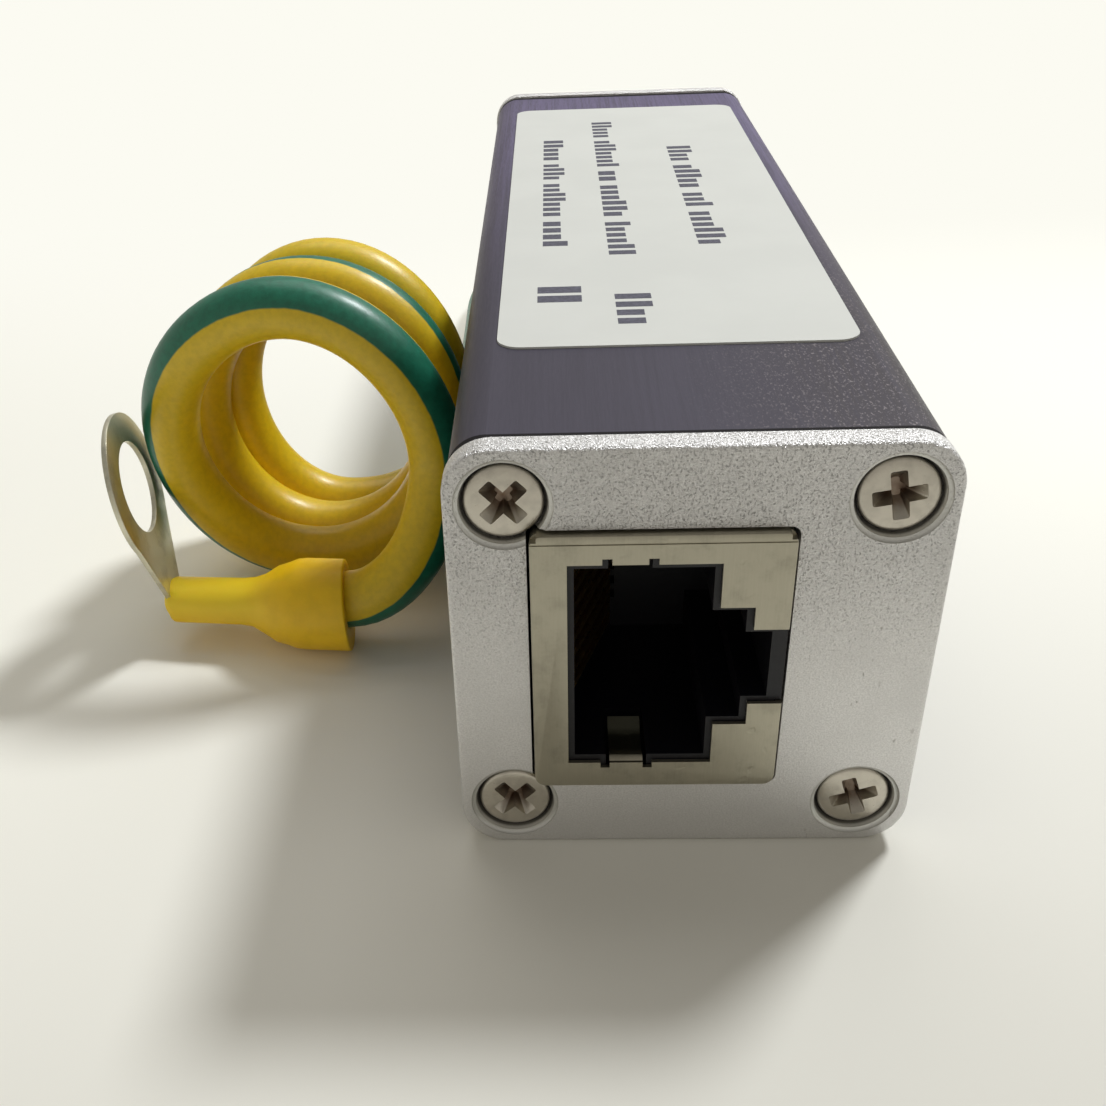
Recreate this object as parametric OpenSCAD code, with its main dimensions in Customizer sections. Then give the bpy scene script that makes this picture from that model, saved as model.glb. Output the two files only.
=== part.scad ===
// Inline surge protector for a network cable: an extruded aluminium tube closed by two
// square end plates, a shielded socket on its side in each plate, a protection board
// between the sockets, and a coiled earth lead that ends in a ring terminal.
// X is across the tube, Y along it and Z up. The origin is at the middle of its underside.

/* [Housing] */
// Length of the extruded tube between the end plates
housing_len = 80; // [68:1:110]
// Outer corner radius of the tube
housing_corner_r = 2; // [1.5:0.1:2.6]
// Wall of the tube
housing_wall = 1.3; // [1.1:0.1:1.5]
// Inner corner radius of the tube
cavity_corner_r = 1; // [0.4:0.1:1.4]
// How far the screw channels in the tube's corners stand out round the screw heads
channel_rim = 0.15; // [0.05:0.05:0.3]
// Width of the slot that opens each screw channel to the inside
channel_slot_w = 1.2; // [0.8:0.1:1.6]
// How far the rails that hold the board stand off the wall
rail_h = 1.4; // [1:0.1:1.6]
// Thickness of each rail
rail_t = 0.9; // [0.7:0.1:1]

/* [End plates] */
// How far the end plates stand out round the tube
plate_overhang = 0.2; // [0.1:0.05:0.6]
// Thickness of the end plates
plate_t = 1.5; // [1.4:0.1:2]
// Corner radius of the end plates
plate_corner_r = 2.5; // [2:0.1:3]
// Broken edge round the outer face of the plates
plate_edge = 0.25; // [0.1:0.05:0.35]
// Gap between a socket and its cut-out in the plate
cutout_gap = 0.15; // [0.1:0.01:0.18]
// Corner radius of the cut-outs
cutout_corner_r = 0.5; // [0.3:0.1:0.8]

/* [Screws] */
// Distance from the screws' axes to the sides of the tube
screw_inset = 2.8; // [2.6:0.05:3.4]
// Gap between the screw channels and the round corners of the sockets
corner_gap = 0.05; // [0.02:0.01:0.4]
// Direction from a socket's corner to its screw, in degrees up from across the tube
corner_angle = 50; // [40:1:55]
// Diameter of the screw heads
screw_head_d = 4; // [3.6:0.1:4.4]
// Diameter of the thread
screw_d = 2.4; // [2:0.1:2.6]
// Length of the screws under the plate's outer face
screw_len = 8; // [5:0.5:12]
// How far the heads lie below the plate's face
head_depth = 0.35; // [0.2:0.05:0.4]
// Height of the straight rim of the heads
head_rim = 0.2; // [0.1:0.05:0.3]
// Gap round the heads and threads
screw_gap = 0.1; // [0.05:0.01:0.13]
// Width of the chamfer ring round each head
pocket_chamfer = 0.35; // [0.1:0.05:0.35]
// Width over the cross in the heads
cross_w = 2.4; // [1.8:0.1:2.6]
// Thickness of the arms of the cross
cross_t = 0.55; // [0.4:0.05:0.7]
// Depth of the cross
cross_depth = 0.7; // [0.4:0.1:0.9]

/* [Sockets] */
// Thickness of the shield's sheet
shield_t = 0.25; // [0.2:0.01:0.3]
// Outer bend radius along the shield
shield_r = 0.6; // [0.4:0.05:0.8]
// How far a socket stands out of its plate
jack_proud = 0.4; // [0.3:0.1:0.8]
// Width of the plug cavity in the insert
cavity_w = 11.9; // [11:0.1:13]
// Height of the plug cavity in the insert
cavity_h = 7; // [6.4:0.1:8]
// Depth of the plug cavity
cavity_len = 13; // [11:0.1:15]
// Height of the plug cavity's bed above the shield's outer face
bed_h = 2.2; // [2:0.05:2.6]
// Distance from the sides of the plug cavity to the outside of the shield
cavity_wall = 2; // [1.9:0.05:2.4]
// Distance from the upper latch step to the outside of the shield
latch_wall = 2.15; // [1:0.05:2.5]
// Thickness of the insert behind the plug cavity
insert_back = 4.4; // [3:0.1:5]
// Room in the shield behind the insert, for the solder pins
pin_room = 3.9; // [3.6:0.1:4.5]
// Border of the shield's opening round the plug cavity
mouth_border = 0.35; // [0.2:0.05:0.4]
// Width of the upper latch step
latch_w = 7.4; // [7:0.1:7.8]
// Depth of the upper latch step above the plug cavity
latch_h = 1.75; // [1.6:0.05:1.9]
// Width of the latch notch that runs out to the shield's edge
notch_w = 4.7; // [4.4:0.1:5]
// Length of the latch notch
notch_len = 9; // [7:0.5:10]
// Plastic between the latch notch and the outside of the shield
notch_wall = 0.8; // [0.6:0.05:1]
// How far the shield is cut back along its side at the latch notch
notch_side_len = 1; // [0.6:0.1:1.5]
// Size of the relief notches at the ends of the shield's front bend
bend_relief = 0.35; // [0.25:0.05:0.4]
// Gap between insert and shield
insert_gap = 0.05; // [0.02:0.01:0.08]
// Width of the folded-in earth springs of the shield
spring_w = 1.8; // [1.4:0.1:2]
// Length of the folded-in earth springs
spring_len = 3.6; // [3:0.1:4.5]
// Lean of the folded-in earth springs in degrees
spring_lean = 7; // [4:0.5:8]

/* [Contacts] */
// Distance between neighbouring contacts
contact_pitch = 1.02; // [1.01:0.005:1.05]
// Width of a contact wire
contact_w = 0.45; // [0.35:0.05:0.5]
// Thickness of a contact wire
contact_t = 0.3; // [0.25:0.01:0.32]
// Depth at which the contacts rise from the bed
contact_start = 3; // [2.9:0.1:3.5]
// How far the contacts rise towards the plug
contact_rise = 2.3; // [1.8:0.1:2.4]
// Gap round the contacts in the insert's slots
contact_gap = 0.08; // [0.05:0.01:0.1]
// How far the solder pins come out behind the board
pin_out = 0.5; // [0.3:0.1:0.9]
// Distance between the two rows of solder pins
pin_rows = 1.78; // [1.6:0.01:1.85]

/* [Board] */
// Thickness of the circuit board
board_t = 1.2; // [1:0.1:1.25]
// Gap between board and rails
board_gap = 0.08; // [0.05:0.01:0.12]
// Gap between the board and the front plate
board_front_gap = 1; // [0.5:0.1:2]
// Gap between the board and the rear plate
board_rear_gap = 3; // [1:0.1:5]
// Diameter of the gas discharge tubes
tube_d = 5; // [4:0.1:5.5]
// Length of the gas discharge tubes
tube_len = 6; // [5:0.1:7]
// Length of the diode arrays
array_len = 5; // [4:0.1:5.5]
// Width of the diode arrays
array_w = 4; // [3.5:0.1:4.5]
// Height of the diode arrays
array_h = 1.6; // [1.2:0.1:2]
// Distance from the board's lower edge to the gas discharge tubes
tube_edge = 1.5; // [0.5:0.1:3]
// Distance from the board's upper edge to the diode arrays
array_edge = 2.9; // [1.5:0.1:4]

/* [Label] */
// Distance from the label to the sides of the tube
label_side_gap = 2.15; // [2:0.05:4]
// Distance from the label to the front end of the tube
label_front_gap = 11.6; // [2:0.1:20]
// Distance from the label to the rear end of the tube
label_rear_gap = 6.6; // [2:0.1:20]
// Thickness of the label
label_t = 0.12; // [0.08:0.01:0.16]
// Corner radius of the label
label_corner_r = 1.4; // [1:0.1:2]

/* [Earth lead] */
// Diameter of the earth lead
wire_d = 4; // [3.6:0.1:4.2]
// Diameter of its stranded conductor
conductor_d = 2; // [1.6:0.1:2.2]
// Gap between the back of the board and the lead
lead_board_gap = 0.3; // [0.2:0.05:1]
// Gap between the lead and the wall of the tube
lead_wall_gap = 0.7; // [0.5:0.05:1.5]
// Gap between the lead and its bush
wire_gap = 0.05; // [0.03:0.01:0.08]
// Wall of the bush in the rear plate
bush_wall = 0.45; // [0.35:0.05:0.5]
// Gap between the bush and the rear plate
bush_gap = 0.05; // [0.02:0.01:0.08]
// How far the bush's flange and ridge stand out round its body
bush_lip = 0.4; // [0.3:0.05:0.45]
// Thickness of the bush's flange
bush_flange_t = 1; // [0.6:0.1:1.5]
// Thickness of the bush's inner ridge
bush_ridge_t = 0.8; // [0.5:0.1:1.2]
// Length of the lead's insulated tail inside the housing
tail_len = 7; // [5:0.5:9]
// Length of the crimped earth terminal on the board
earth_len = 4; // [3:0.1:5]
// Wall of the earth terminal's barrel
earth_wall = 0.7; // [0.5:0.05:0.8]

/* [Coil] */
// Turns of the coil
coil_turns = 3; // [2:1:5]
// Mean radius of the coil's turns
coil_r = 9.7; // [9:0.1:10.5]
// Gap between neighbouring turns
coil_gap = 0.1; // [0.05:0.05:0.3]
// Distance between the coil and the side of the end plates
coil_side_gap = 0.4; // [0.2:0.1:1]
// Height of the coil above the table
coil_lift = 0.3; // [0.1:0.1:0.6]
// Place of the coil's front turn
coil_y = -12.2; // [-12.8:0.1:-12]

/* [Terminal] */
// Width across the ring
ring_d = 10.4; // [9.4:0.1:10.8]
// Bolt hole of the ring
ring_hole_d = 6.4; // [5.2:0.1:6.6]
// Thickness of the terminal's sheet
ring_t = 0.5; // [0.4:0.05:0.8]
// Width of the terminal's neck where it enters the boot
neck_w = 2.6; // [2.2:0.1:2.8]
// Distance from the ring's middle to the barrel's axis
neck_len = 8.7; // [8.3:0.1:9]
// Diameter of the crimped barrel
barrel_d = 2.4; // [2:0.1:2.6]
// Length of the crimped barrel
barrel_len = 8; // [6:0.5:8.5]
// Lean of the ring towards the boot in degrees
ring_lean = 12.4; // [10:0.2:15]
// Turn of the ring about the upright in degrees
ring_turn = 4.7; // [0:0.1:8]
// Outer diameter of the boot at the lead
boot_d = 6.5; // [6.2:0.1:6.6]
// Outer diameter of the boot at the ring
boot_neck_d = 3.5; // [3.4:0.1:3.8]
// Length of the boot
boot_len = 13.7; // [13:0.1:14]
// Length of the boot's wide part
boot_wide_len = 4; // [3.5:0.1:4.5]
// Length of the boot's taper
boot_taper_len = 3.2; // [2.5:0.1:3.5]
// Gap between the boot and what it covers
boot_gap = 0.05; // [0.03:0.01:0.08]
// Depth of the boot's mouth, which takes the terminal's neck
boot_mouth_len = 1.3; // [1.2:0.1:1.6]
// Depth of the wide bore that takes the lead
boot_bore_len = 4.6; // [4:0.1:5]

/* [Hidden] */
$fn = 48;
eps = 0.01;
stages = 4;
jack_w = cavity_w + 2 * cavity_wall;
jack_h = bed_h + cavity_h + latch_h + latch_wall;
mouth_w = cavity_w + 2 * mouth_border;
insert_len = cavity_len + insert_back;
jack_len = insert_len + pin_room;
channel_d = screw_head_d + 2 * channel_rim;
// The screws lie off the sockets' round corners, so that their channels pass them
corner_run = channel_d / 2 + shield_r + corner_gap;
jack_side_room = screw_inset + corner_run * sin(corner_angle) - shield_r;
jack_left_room = screw_inset + corner_run * cos(corner_angle) - shield_r;
// The tube is square: the sockets and their screws need one side, and the sockets, the
// board and the lead beside it need the other
housing_side = max(jack_w + 2 * jack_side_room, jack_left_room + jack_h + board_t
    + lead_board_gap + wire_d + lead_wall_gap + housing_wall);
plate_side = housing_side + 2 * plate_overhang;
screw_pitch = housing_side - 2 * screw_inset;
jack_x = -housing_side / 2 + jack_left_room + jack_h / 2;
mid_z = plate_side / 2;
front_y = -housing_len / 2 - plate_t;
rear_y = -front_y;
jack_front_y = front_y - jack_proud;
cavity_side = housing_side - 2 * housing_wall;
screw_at = [[-1, 1], [1, 1], [-1, -1], [1, -1]] * (screw_pitch / 2);
cross_turn = [45, 8, 40, 18];
channel_bore_d = screw_d + 2 * screw_gap;
pocket_d = screw_head_d + 2 * screw_gap;
// Heights in a socket are counted from its axis towards the latch
bed_x = -jack_h / 2 + bed_h;
roof_x = bed_x + cavity_h;
latch_x = roof_x + latch_h;
board_x = jack_x + jack_h / 2;
board_back_x = board_x + board_t;
board_h = cavity_side - 2 * board_gap;
board_y0 = board_front_gap - housing_len / 2;
board_len = housing_len - board_front_gap - board_rear_gap;
board_low_z = mid_z - board_h / 2;
jack_back_y = jack_front_y + jack_len;
stage_pitch = -2 * jack_back_y / (stages + 1);
wire_x = board_back_x + lead_board_gap + wire_d / 2;
label_w = housing_side - 2 * label_side_gap;
label_len = housing_len - label_front_gap - label_rear_gap;
leg_x = bed_x - contact_gap - contact_t - 0.15;
pin_y = [insert_len + 0.6, insert_len + 0.6 + pin_rows];
bush_d = wire_d + 2 * wire_gap + 2 * bush_wall;
bush_out_y = rear_y + bush_flange_t;
earth_y0 = housing_len / 2 - tail_len;
spring_x = bed_x + cavity_h / 2 - 0.7;
coil_pitch = wire_d + coil_gap;
coil_x = -plate_side / 2 - coil_side_gap - wire_d / 2 - coil_r;
coil_z = coil_r + wire_d / 2 + coil_lift;
coil_back_y = coil_y + (coil_turns - 1) * coil_pitch;
// The boot lies in front of the coil and the ring stands up from its narrow end
boot_at = [coil_x - 10.2, coil_y - 7.2, 2.95];
boot_end = [coil_x + 3.3, coil_y - 8.9, boot_d / 2 + 0.05];
ring_at = boot_at + [0.52, 1, 0.15] + neck_len * [-sin(ring_lean), 0, cos(ring_lean)];
boot_run = boot_end - boot_at;
boot_turn = atan2(boot_run[1], boot_run[0]);
boot_tilt = atan2(boot_run[2], norm([boot_run[0], boot_run[1]]));
neck_y = -1.2;
// Route of the lead from the bush, round the rear corner and along the side to the coil
rear_route = [[wire_x, bush_out_y, mid_z], [wire_x, 47, mid_z], [8, 51, 11.4], [6.6, 55, 8.8],
    [3.6, 58.2, 5.6], [-0.6, 59.8, 3.2], [-5.2, 58.6, 2.2], [-9.6, 55.6, 2.1], [-13, 51, 2.1],
    [-14.8, 45, 2.1], [-15, 38, 2.1], [-15, 30, 2.1], [-15, 22, 2.1], [-15, 14, 2.1],
    [-15.2, 7, 2.1], [-16.8, 1.4, 2.1], [-20.2, -2.6, 2.1],
    [coil_x, coil_back_y, coil_z - coil_r]];
// Route of the lead out of the boot's bore and up into the front turn of the coil
boot_inside = boot_at + (boot_len - boot_bore_len + 0.1) * boot_run / norm(boot_run);
front_route = [boot_inside, boot_end, [-19.6, -21.2, 3.5], [-17.6, -20.5, 4.6],
    [-16, -19.1, 6.8], [-15.1, -17.1, 9.6], [-14.9, -14.8, 12.4], [-15.3, -12.9, 14.8]];

// A rectangle with round corners about the origin
module round_rect(w, h, r) {
    square([w - 2 * r, h], center = true);
    square([w, h - 2 * r], center = true);
    for (x = [-1, 1], y = [-1, 1])
        translate([x * (w / 2 - r), y * (h / 2 - r)]) circle(r = r);
}

// Stands a flat outline, drawn in X and Z, along the Y axis from y0
module along_y(y0, len) {
    translate([0, y0 + len, 0]) rotate([90, 0, 0]) linear_extrude(height = len) children();
}

// Turns what is made for the front end to the rear end
module at_rear() {
    translate([0, 0, plate_side]) rotate([180, 0, 0]) children();
}

// Outline of the tube, its corner screw channels and its board rails
module housing_outline() {
    difference() {
        union() {
            difference() {
                round_rect(housing_side, housing_side, housing_corner_r);
                round_rect(cavity_side, cavity_side, cavity_corner_r);
            }
            intersection() {
                for (at = screw_at) translate(at) circle(d = channel_d);
                round_rect(housing_side, housing_side, housing_corner_r);
            }
            for (z = [-1, 1], x = [board_x - board_gap - rail_t, board_back_x + board_gap])
                translate([x, z > 0 ? cavity_side / 2 - rail_h : -cavity_side / 2 - eps])
                    square([rail_t, rail_h + eps]);
        }
        for (at = screw_at) translate(at) {
            circle(d = channel_bore_d);
            rotate(atan2(-at[1], -at[0]))
                translate([0, -channel_slot_w / 2]) square([channel_d, channel_slot_w]);
        }
    }
}

module housing() {
    color([0.36, 0.34, 0.40])
        translate([0, 0, mid_z]) along_y(-housing_len / 2, housing_len) housing_outline();
}

// Head pocket with its chamfer ring, cone and thread hole, cut from the outer face inwards
module screw_pocket() {
    cone = (screw_head_d - screw_d) / 2;
    translate([0, -eps, 0]) rotate([-90, 0, 0]) {
        cylinder(d1 = pocket_d + 2 * pocket_chamfer, d2 = pocket_d, h = pocket_chamfer);
        cylinder(d = pocket_d, h = head_depth + head_rim + eps);
        translate([0, 0, head_depth + head_rim])
            cylinder(d1 = pocket_d, d2 = channel_bore_d, h = cone);
        cylinder(d = channel_bore_d, h = plate_t + 1);
    }
}

// End plate with its outer face towards -Y
module end_plate() {
    translate([0, 0, mid_z]) difference() {
        union() {
            along_y(front_y + plate_edge, plate_t - plate_edge)
                round_rect(plate_side, plate_side, plate_corner_r);
            along_y(front_y, plate_edge) round_rect(plate_side - 2 * plate_edge,
                plate_side - 2 * plate_edge, plate_corner_r - plate_edge);
        }
        translate([jack_x, 0, 0]) along_y(front_y - 1, plate_t + 2)
            round_rect(jack_h + 2 * cutout_gap, jack_w + 2 * cutout_gap, cutout_corner_r);
        for (at = screw_at) translate([at[0], front_y, at[1]]) screw_pocket();
    }
}

module front_plate() {
    color([0.70, 0.70, 0.69]) end_plate();
}

module rear_plate() {
    color([0.70, 0.70, 0.69]) difference() {
        at_rear() end_plate();
        translate([wire_x, housing_len / 2 - 1, mid_z]) rotate([-90, 0, 0])
            cylinder(d = bush_d + 2 * bush_gap, h = plate_t + 2);
    }
}

// Countersunk screw with a cross, head towards -Y
module screw(turn) {
    cone = (screw_head_d - screw_d) / 2;
    color([0.55, 0.53, 0.50]) rotate([-90, 0, 0]) translate([0, 0, head_depth]) difference() {
        union() {
            cylinder(d = screw_head_d, h = head_rim);
            translate([0, 0, head_rim]) cylinder(d1 = screw_head_d, d2 = screw_d, h = cone);
            cylinder(d = screw_d, h = screw_len - head_depth);
        }
        for (a = [0, 90]) rotate(turn + a)
            translate([-cross_w / 2, -cross_t / 2, -eps]) cube([cross_w, cross_t, cross_depth]);
        translate([0, 0, -eps]) cylinder(d = 2 * cross_t, h = cross_depth);
    }
}

module screw_at_corner(i) {
    at = screw_at[i];
    translate([at[0], front_y, mid_z + at[1]]) screw(cross_turn[i]);
}

module label() {
    color([0.86, 0.87, 0.90]) translate([0, (label_front_gap - label_rear_gap) / 2, mid_z + housing_side / 2])
        linear_extrude(height = label_t) round_rect(label_w, label_len, label_corner_r);
}

// A socket is drawn with its mouth at Y = 0, its latch towards +X and its axis on Y
module jack_outline(shrink) {
    round_rect(jack_h - 2 * shrink, jack_w - 2 * shrink, shield_r - shrink / 2);
}

// Relief notches beside an earth spring and the spring itself
module spring_notch() {
    translate([-spring_w / 2 - 0.5, -eps, 0]) cube([spring_w + 1, shield_t + 2 * eps, 0.35]);
}

module earth_spring() {
    translate([-spring_w / 2, 0, 0.35 - shield_t]) {
        cube([spring_w, shield_t, shield_t]);
        translate([0, shield_t / 2, shield_t]) rotate([-spring_lean, 0, 0])
            translate([0, 0, -shield_t]) cube([spring_w, spring_len, shield_t]);
    }
}

module jack_shield() {
    color([0.66, 0.64, 0.58]) {
        difference() {
            along_y(0, jack_len) jack_outline(0);
            along_y(shield_t, jack_len - 2 * shield_t) jack_outline(shield_t);
            // Stepped mouth
            translate([bed_x - mouth_border, -1, -mouth_w / 2])
                cube([cavity_h + 2 * mouth_border, 1 + 2 * shield_t, mouth_w]);
            translate([roof_x, -1, -latch_w / 2])
                cube([latch_h + mouth_border, 1 + 2 * shield_t, latch_w]);
            translate([latch_x, -1, -notch_w / 2])
                cube([jack_h, 1 + notch_side_len, notch_w]);
            for (x = [-1, 1]) translate([x * jack_h / 2 - bend_relief, -1, jack_w / 2 - bend_relief])
                cube([2 * bend_relief, 1 + 2 * shield_t, 1]);
            for (s = [0, 1]) mirror([0, 0, s]) translate([spring_x, 0, mouth_w / 2 - eps])
                spring_notch();
            // Open underside for the pins and the board
            translate([jack_h / 2 - 2 * shield_t, insert_len, -jack_w / 2 + 1.2])
                cube([1, jack_len - insert_len - 0.6, jack_w - 2.4]);
        }
        for (s = [0, 1]) mirror([0, 0, s]) translate([spring_x, 0, mouth_w / 2]) earth_spring();
    }
}

module jack_insert() {
    shell = shield_t + insert_gap;
    comb_h = contact_rise + contact_t + contact_gap;
    color([0.07, 0.07, 0.08]) difference() {
        union() {
            along_y(shell, insert_len - shell) jack_outline(shell);
            // Sill in the shield's side cut
            translate([latch_x, shell, insert_gap - notch_w / 2])
                cube([jack_h / 2 - latch_x, notch_side_len - shell - insert_gap, notch_w - 2 * insert_gap]);
        }
        translate([bed_x, -1, -cavity_w / 2]) cube([cavity_h, 1 + cavity_len, cavity_w]);
        translate([roof_x - eps, -1, -latch_w / 2 + 0.3])
            cube([latch_h, 1 + cavity_len, latch_w - 0.6]);
        translate([latch_x - 1, -1, -notch_w / 2 + 0.3])
            cube([jack_h / 2 - notch_wall - latch_x + 1, 1 + notch_len, notch_w - 0.6]);
        for (s = [0, 1]) mirror([0, 0, s])
            translate([spring_x - spring_w / 2 - 0.2, -1, cavity_w / 2 - 0.6])
                cube([spring_w + 0.4, 1 + spring_len + 0.8, 1.45]);
        // Contact slots in the bed, comb slots in the back wall and tunnels to the rear
        for (i = [0:7]) translate([0, 0, (i - 3.5) * contact_pitch - contact_w / 2 - contact_gap]) {
            translate([leg_x - contact_gap, contact_start - 0.6, 0])
                cube([bed_x - leg_x + 1, insert_len, contact_w + 2 * contact_gap]);
            translate([bed_x, cavity_len - 1, 0])
                cube([comb_h, 1.8, contact_w + 2 * contact_gap]);
        }
    }
}

// One contact: a spring arm over the bed, a leg back through the insert and a solder pin
module contact(row) {
    back = pin_y[row];
    tip_y = cavity_len + 0.4;
    low = leg_x;
    high = bed_x + contact_rise;
    end_x = jack_h / 2 + board_t + pin_out;
    translate([0, 0, -contact_w / 2]) linear_extrude(height = contact_w) polygon([
        [low, contact_start], [low + contact_t, contact_start - 0.3],
        [high, tip_y - 3.2], [high, tip_y], [high - contact_t, tip_y],
        [high - contact_t, tip_y - 3.1], [low + contact_t, contact_start + 0.7],
        [low + contact_t, back - contact_t], [end_x, back - contact_t],
        [end_x, back], [low, back]]);
}

module jack_contacts() {
    color([0.78, 0.66, 0.36])
        for (i = [0:7]) translate([0, 0, (i - 3.5) * contact_pitch]) contact(i % 2);
}

module jack_place() {
    translate([jack_x, jack_front_y, mid_z]) children();
}

module circuit_board() {
    color([0.10, 0.36, 0.20]) difference() {
        translate([board_x, board_y0, board_low_z])
            cube([board_t, board_len, board_h]);
        for (rear = [0, 1], i = [0:7]) mirror([0, rear, 0])
            translate([board_x - 1, jack_front_y + pin_y[rear ? 1 - i % 2 : i % 2] - contact_t / 2,
                mid_z + (i - 3.5) * contact_pitch])
                rotate([0, 90, 0]) cylinder(d = 0.75, h = board_t + 2, $fn = 24);
    }
}

// Middle of a protection stage along the board
function stage_y(i) = (i - (stages - 1) / 2) * stage_pitch;

// Gas discharge tube lying along Z on the board, with two metal end caps
module gas_tube(i) {
    cap = 1;
    translate([board_x - tube_d / 2, stage_y(i), board_low_z + tube_edge]) {
        color([0.90, 0.89, 0.86]) translate([0, 0, cap - eps])
            cylinder(d = tube_d - 0.4, h = tube_len - 2 * cap + 2 * eps);
        color([0.75, 0.75, 0.74]) {
            cylinder(d = tube_d, h = cap);
            translate([0, 0, tube_len - cap]) cylinder(d = tube_d, h = cap);
        }
    }
}

// Small diode array with four short legs on each side
module diode_array(i) {
    foot = 0.25;
    low_z = board_low_z + board_h - array_edge - array_len;
    color([0.10, 0.10, 0.11]) translate([board_x - array_h, stage_y(i) - array_w / 2, low_z])
        cube([array_h, array_w, array_len]);
    color([0.75, 0.75, 0.74]) for (side = [-1, 1], k = [0:3])
        translate([board_x - foot, stage_y(i) + side * (array_w / 2 + 0.35) - 0.36,
            low_z + array_len * (k + 0.5) / 4 - 0.2]) cube([foot, 0.72, 0.4]);
}

// Crimp barrel with a foot on the board's back
module earth_terminal() {
    barrel = conductor_d + 2 * earth_wall;
    color([0.72, 0.70, 0.66]) translate([0, earth_y0 - earth_len - 0.3, mid_z]) difference() {
        union() {
            translate([wire_x, 0, 0]) rotate([-90, 0, 0]) cylinder(d = barrel, h = earth_len);
            translate([board_back_x, 0, -barrel / 2])
                cube([wire_x - board_back_x, earth_len, barrel]);
        }
        translate([wire_x, -1, 0]) rotate([-90, 0, 0])
            cylinder(d = conductor_d + 2 * wire_gap, h = earth_len + 2);
    }
}

module wire_bush() {
    ridge_y = housing_len / 2 - bush_ridge_t;
    color([0.12, 0.12, 0.13]) translate([wire_x, 0, mid_z]) rotate([-90, 0, 0]) difference() {
        union() {
            translate([0, 0, ridge_y]) cylinder(d = bush_d, h = bush_out_y - ridge_y);
            translate([0, 0, ridge_y])
                cylinder(d1 = bush_d, d2 = bush_d + bush_lip, h = bush_ridge_t);
            translate([0, 0, rear_y]) cylinder(d = bush_d + 2 * bush_lip, h = bush_flange_t);
        }
        translate([0, 0, ridge_y - 1])
            cylinder(d = wire_d + 2 * wire_gap, h = bush_out_y - ridge_y + 2);
    }
}

module ground_wire_tail() {
    bare_y = earth_y0 - earth_len - 0.6;
    translate([wire_x, 0, mid_z]) rotate([-90, 0, 0]) {
        color([0.80, 0.64, 0.16]) translate([0, 0, earth_y0])
            cylinder(d = wire_d, h = bush_out_y - earth_y0);
        color([0.80, 0.45, 0.25]) translate([0, 0, bare_y])
            cylinder(d = conductor_d, h = earth_y0 - bare_y + eps);
    }
}

// Direction of a route at its point i
function run_at(p, i) =
    let (v = p[min(i + 1, len(p) - 1)] - p[max(i - 1, 0)]) v / norm(v);

// A unit vector across the direction t, level with respect to the vector up
function across(t, up) = let (v = cross(t, up)) v / norm(v);

// A closed tube of diameter d swept along the points of a route, whose rings start from
// the vector up, which the route never runs along
module swept_tube(p, d, sides, up) {
    rings = len(p);
    points = [for (i = [0:rings - 1], k = [0:sides - 1])
        let (t = run_at(p, i), u = across(t, up), v = cross(t, u), a = 360 * k / sides)
            p[i] + d / 2 * (u * cos(a) + v * sin(a))];
    skin = [for (i = [0:rings - 2], k = [0:sides - 1], half = [0, 1])
        let (a = i * sides + k, b = i * sides + (k + 1) % sides)
            half == 0 ? [a, b, b + sides] : [a, b + sides, a + sides]];
    ends = [[for (k = [sides - 1:-1:0]) k], [for (k = [0:sides - 1]) (rings - 1) * sides + k]];
    polyhedron(points = points, faces = concat(skin, ends), convexity = 6);
}

module ground_wire() {
    color([0.80, 0.64, 0.16]) swept_tube(rear_route, wire_d, 10, [0, 0, 1]);
}

module ground_wire_coil() {
    color([0.80, 0.64, 0.16]) translate([coil_x, coil_y, coil_z]) rotate([-90, 0, 0])
        rotate_extrude($fn = 64) for (i = [0:coil_turns - 1]) {
            translate([coil_r, i * coil_pitch]) circle(d = wire_d, $fn = 24);
            if (i > 0) translate([coil_r - wire_d / 4, (i - 1) * coil_pitch])
                square([wire_d / 2, coil_pitch]);
        }
}

module ground_wire_end() {
    color([0.12, 0.43, 0.33]) swept_tube(front_route, wire_d, 10, [0, 1, 0]);
}

// The boot lies along +X from the ring's side, with its axis through the origin
module boot_place() {
    translate(boot_at) rotate([0, -boot_tilt, boot_turn]) children();
}

// Insulating boot, cut back at a slant on top where the terminal's neck comes out
module terminal_boot() {
    neck = boot_len - boot_wide_len - boot_taper_len;
    lead_bore = wire_d / 2 + boot_gap;
    barrel_bore = barrel_d / 2 + boot_gap;
    mouth_bore = norm([neck_w, ring_t]) / 2 + boot_gap;
    color([0.92, 0.80, 0.12]) boot_place() difference() {
        rotate([90, 0, 90]) rotate_extrude() polygon([[mouth_bore, 0], [boot_neck_d / 2, 0],
            [boot_neck_d / 2, neck], [boot_d / 2 - 0.25, neck + boot_taper_len],
            [boot_d / 2, neck + boot_taper_len + 0.8],
            [boot_d / 2, boot_len - 0.3], [boot_d / 2 - 0.3, boot_len],
            [lead_bore, boot_len], [lead_bore, boot_len - boot_bore_len],
            [barrel_bore, boot_len - boot_bore_len], [barrel_bore, boot_mouth_len],
            [mouth_bore, boot_mouth_len]]);
        translate([0, -boot_neck_d, -boot_neck_d / 2])
            rotate([0, atan(boot_mouth_len / boot_neck_d), 0])
                translate([-boot_neck_d, 0, -1])
                    cube([boot_neck_d, 2 * boot_neck_d, 2 * boot_neck_d]);
    }
}

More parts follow.
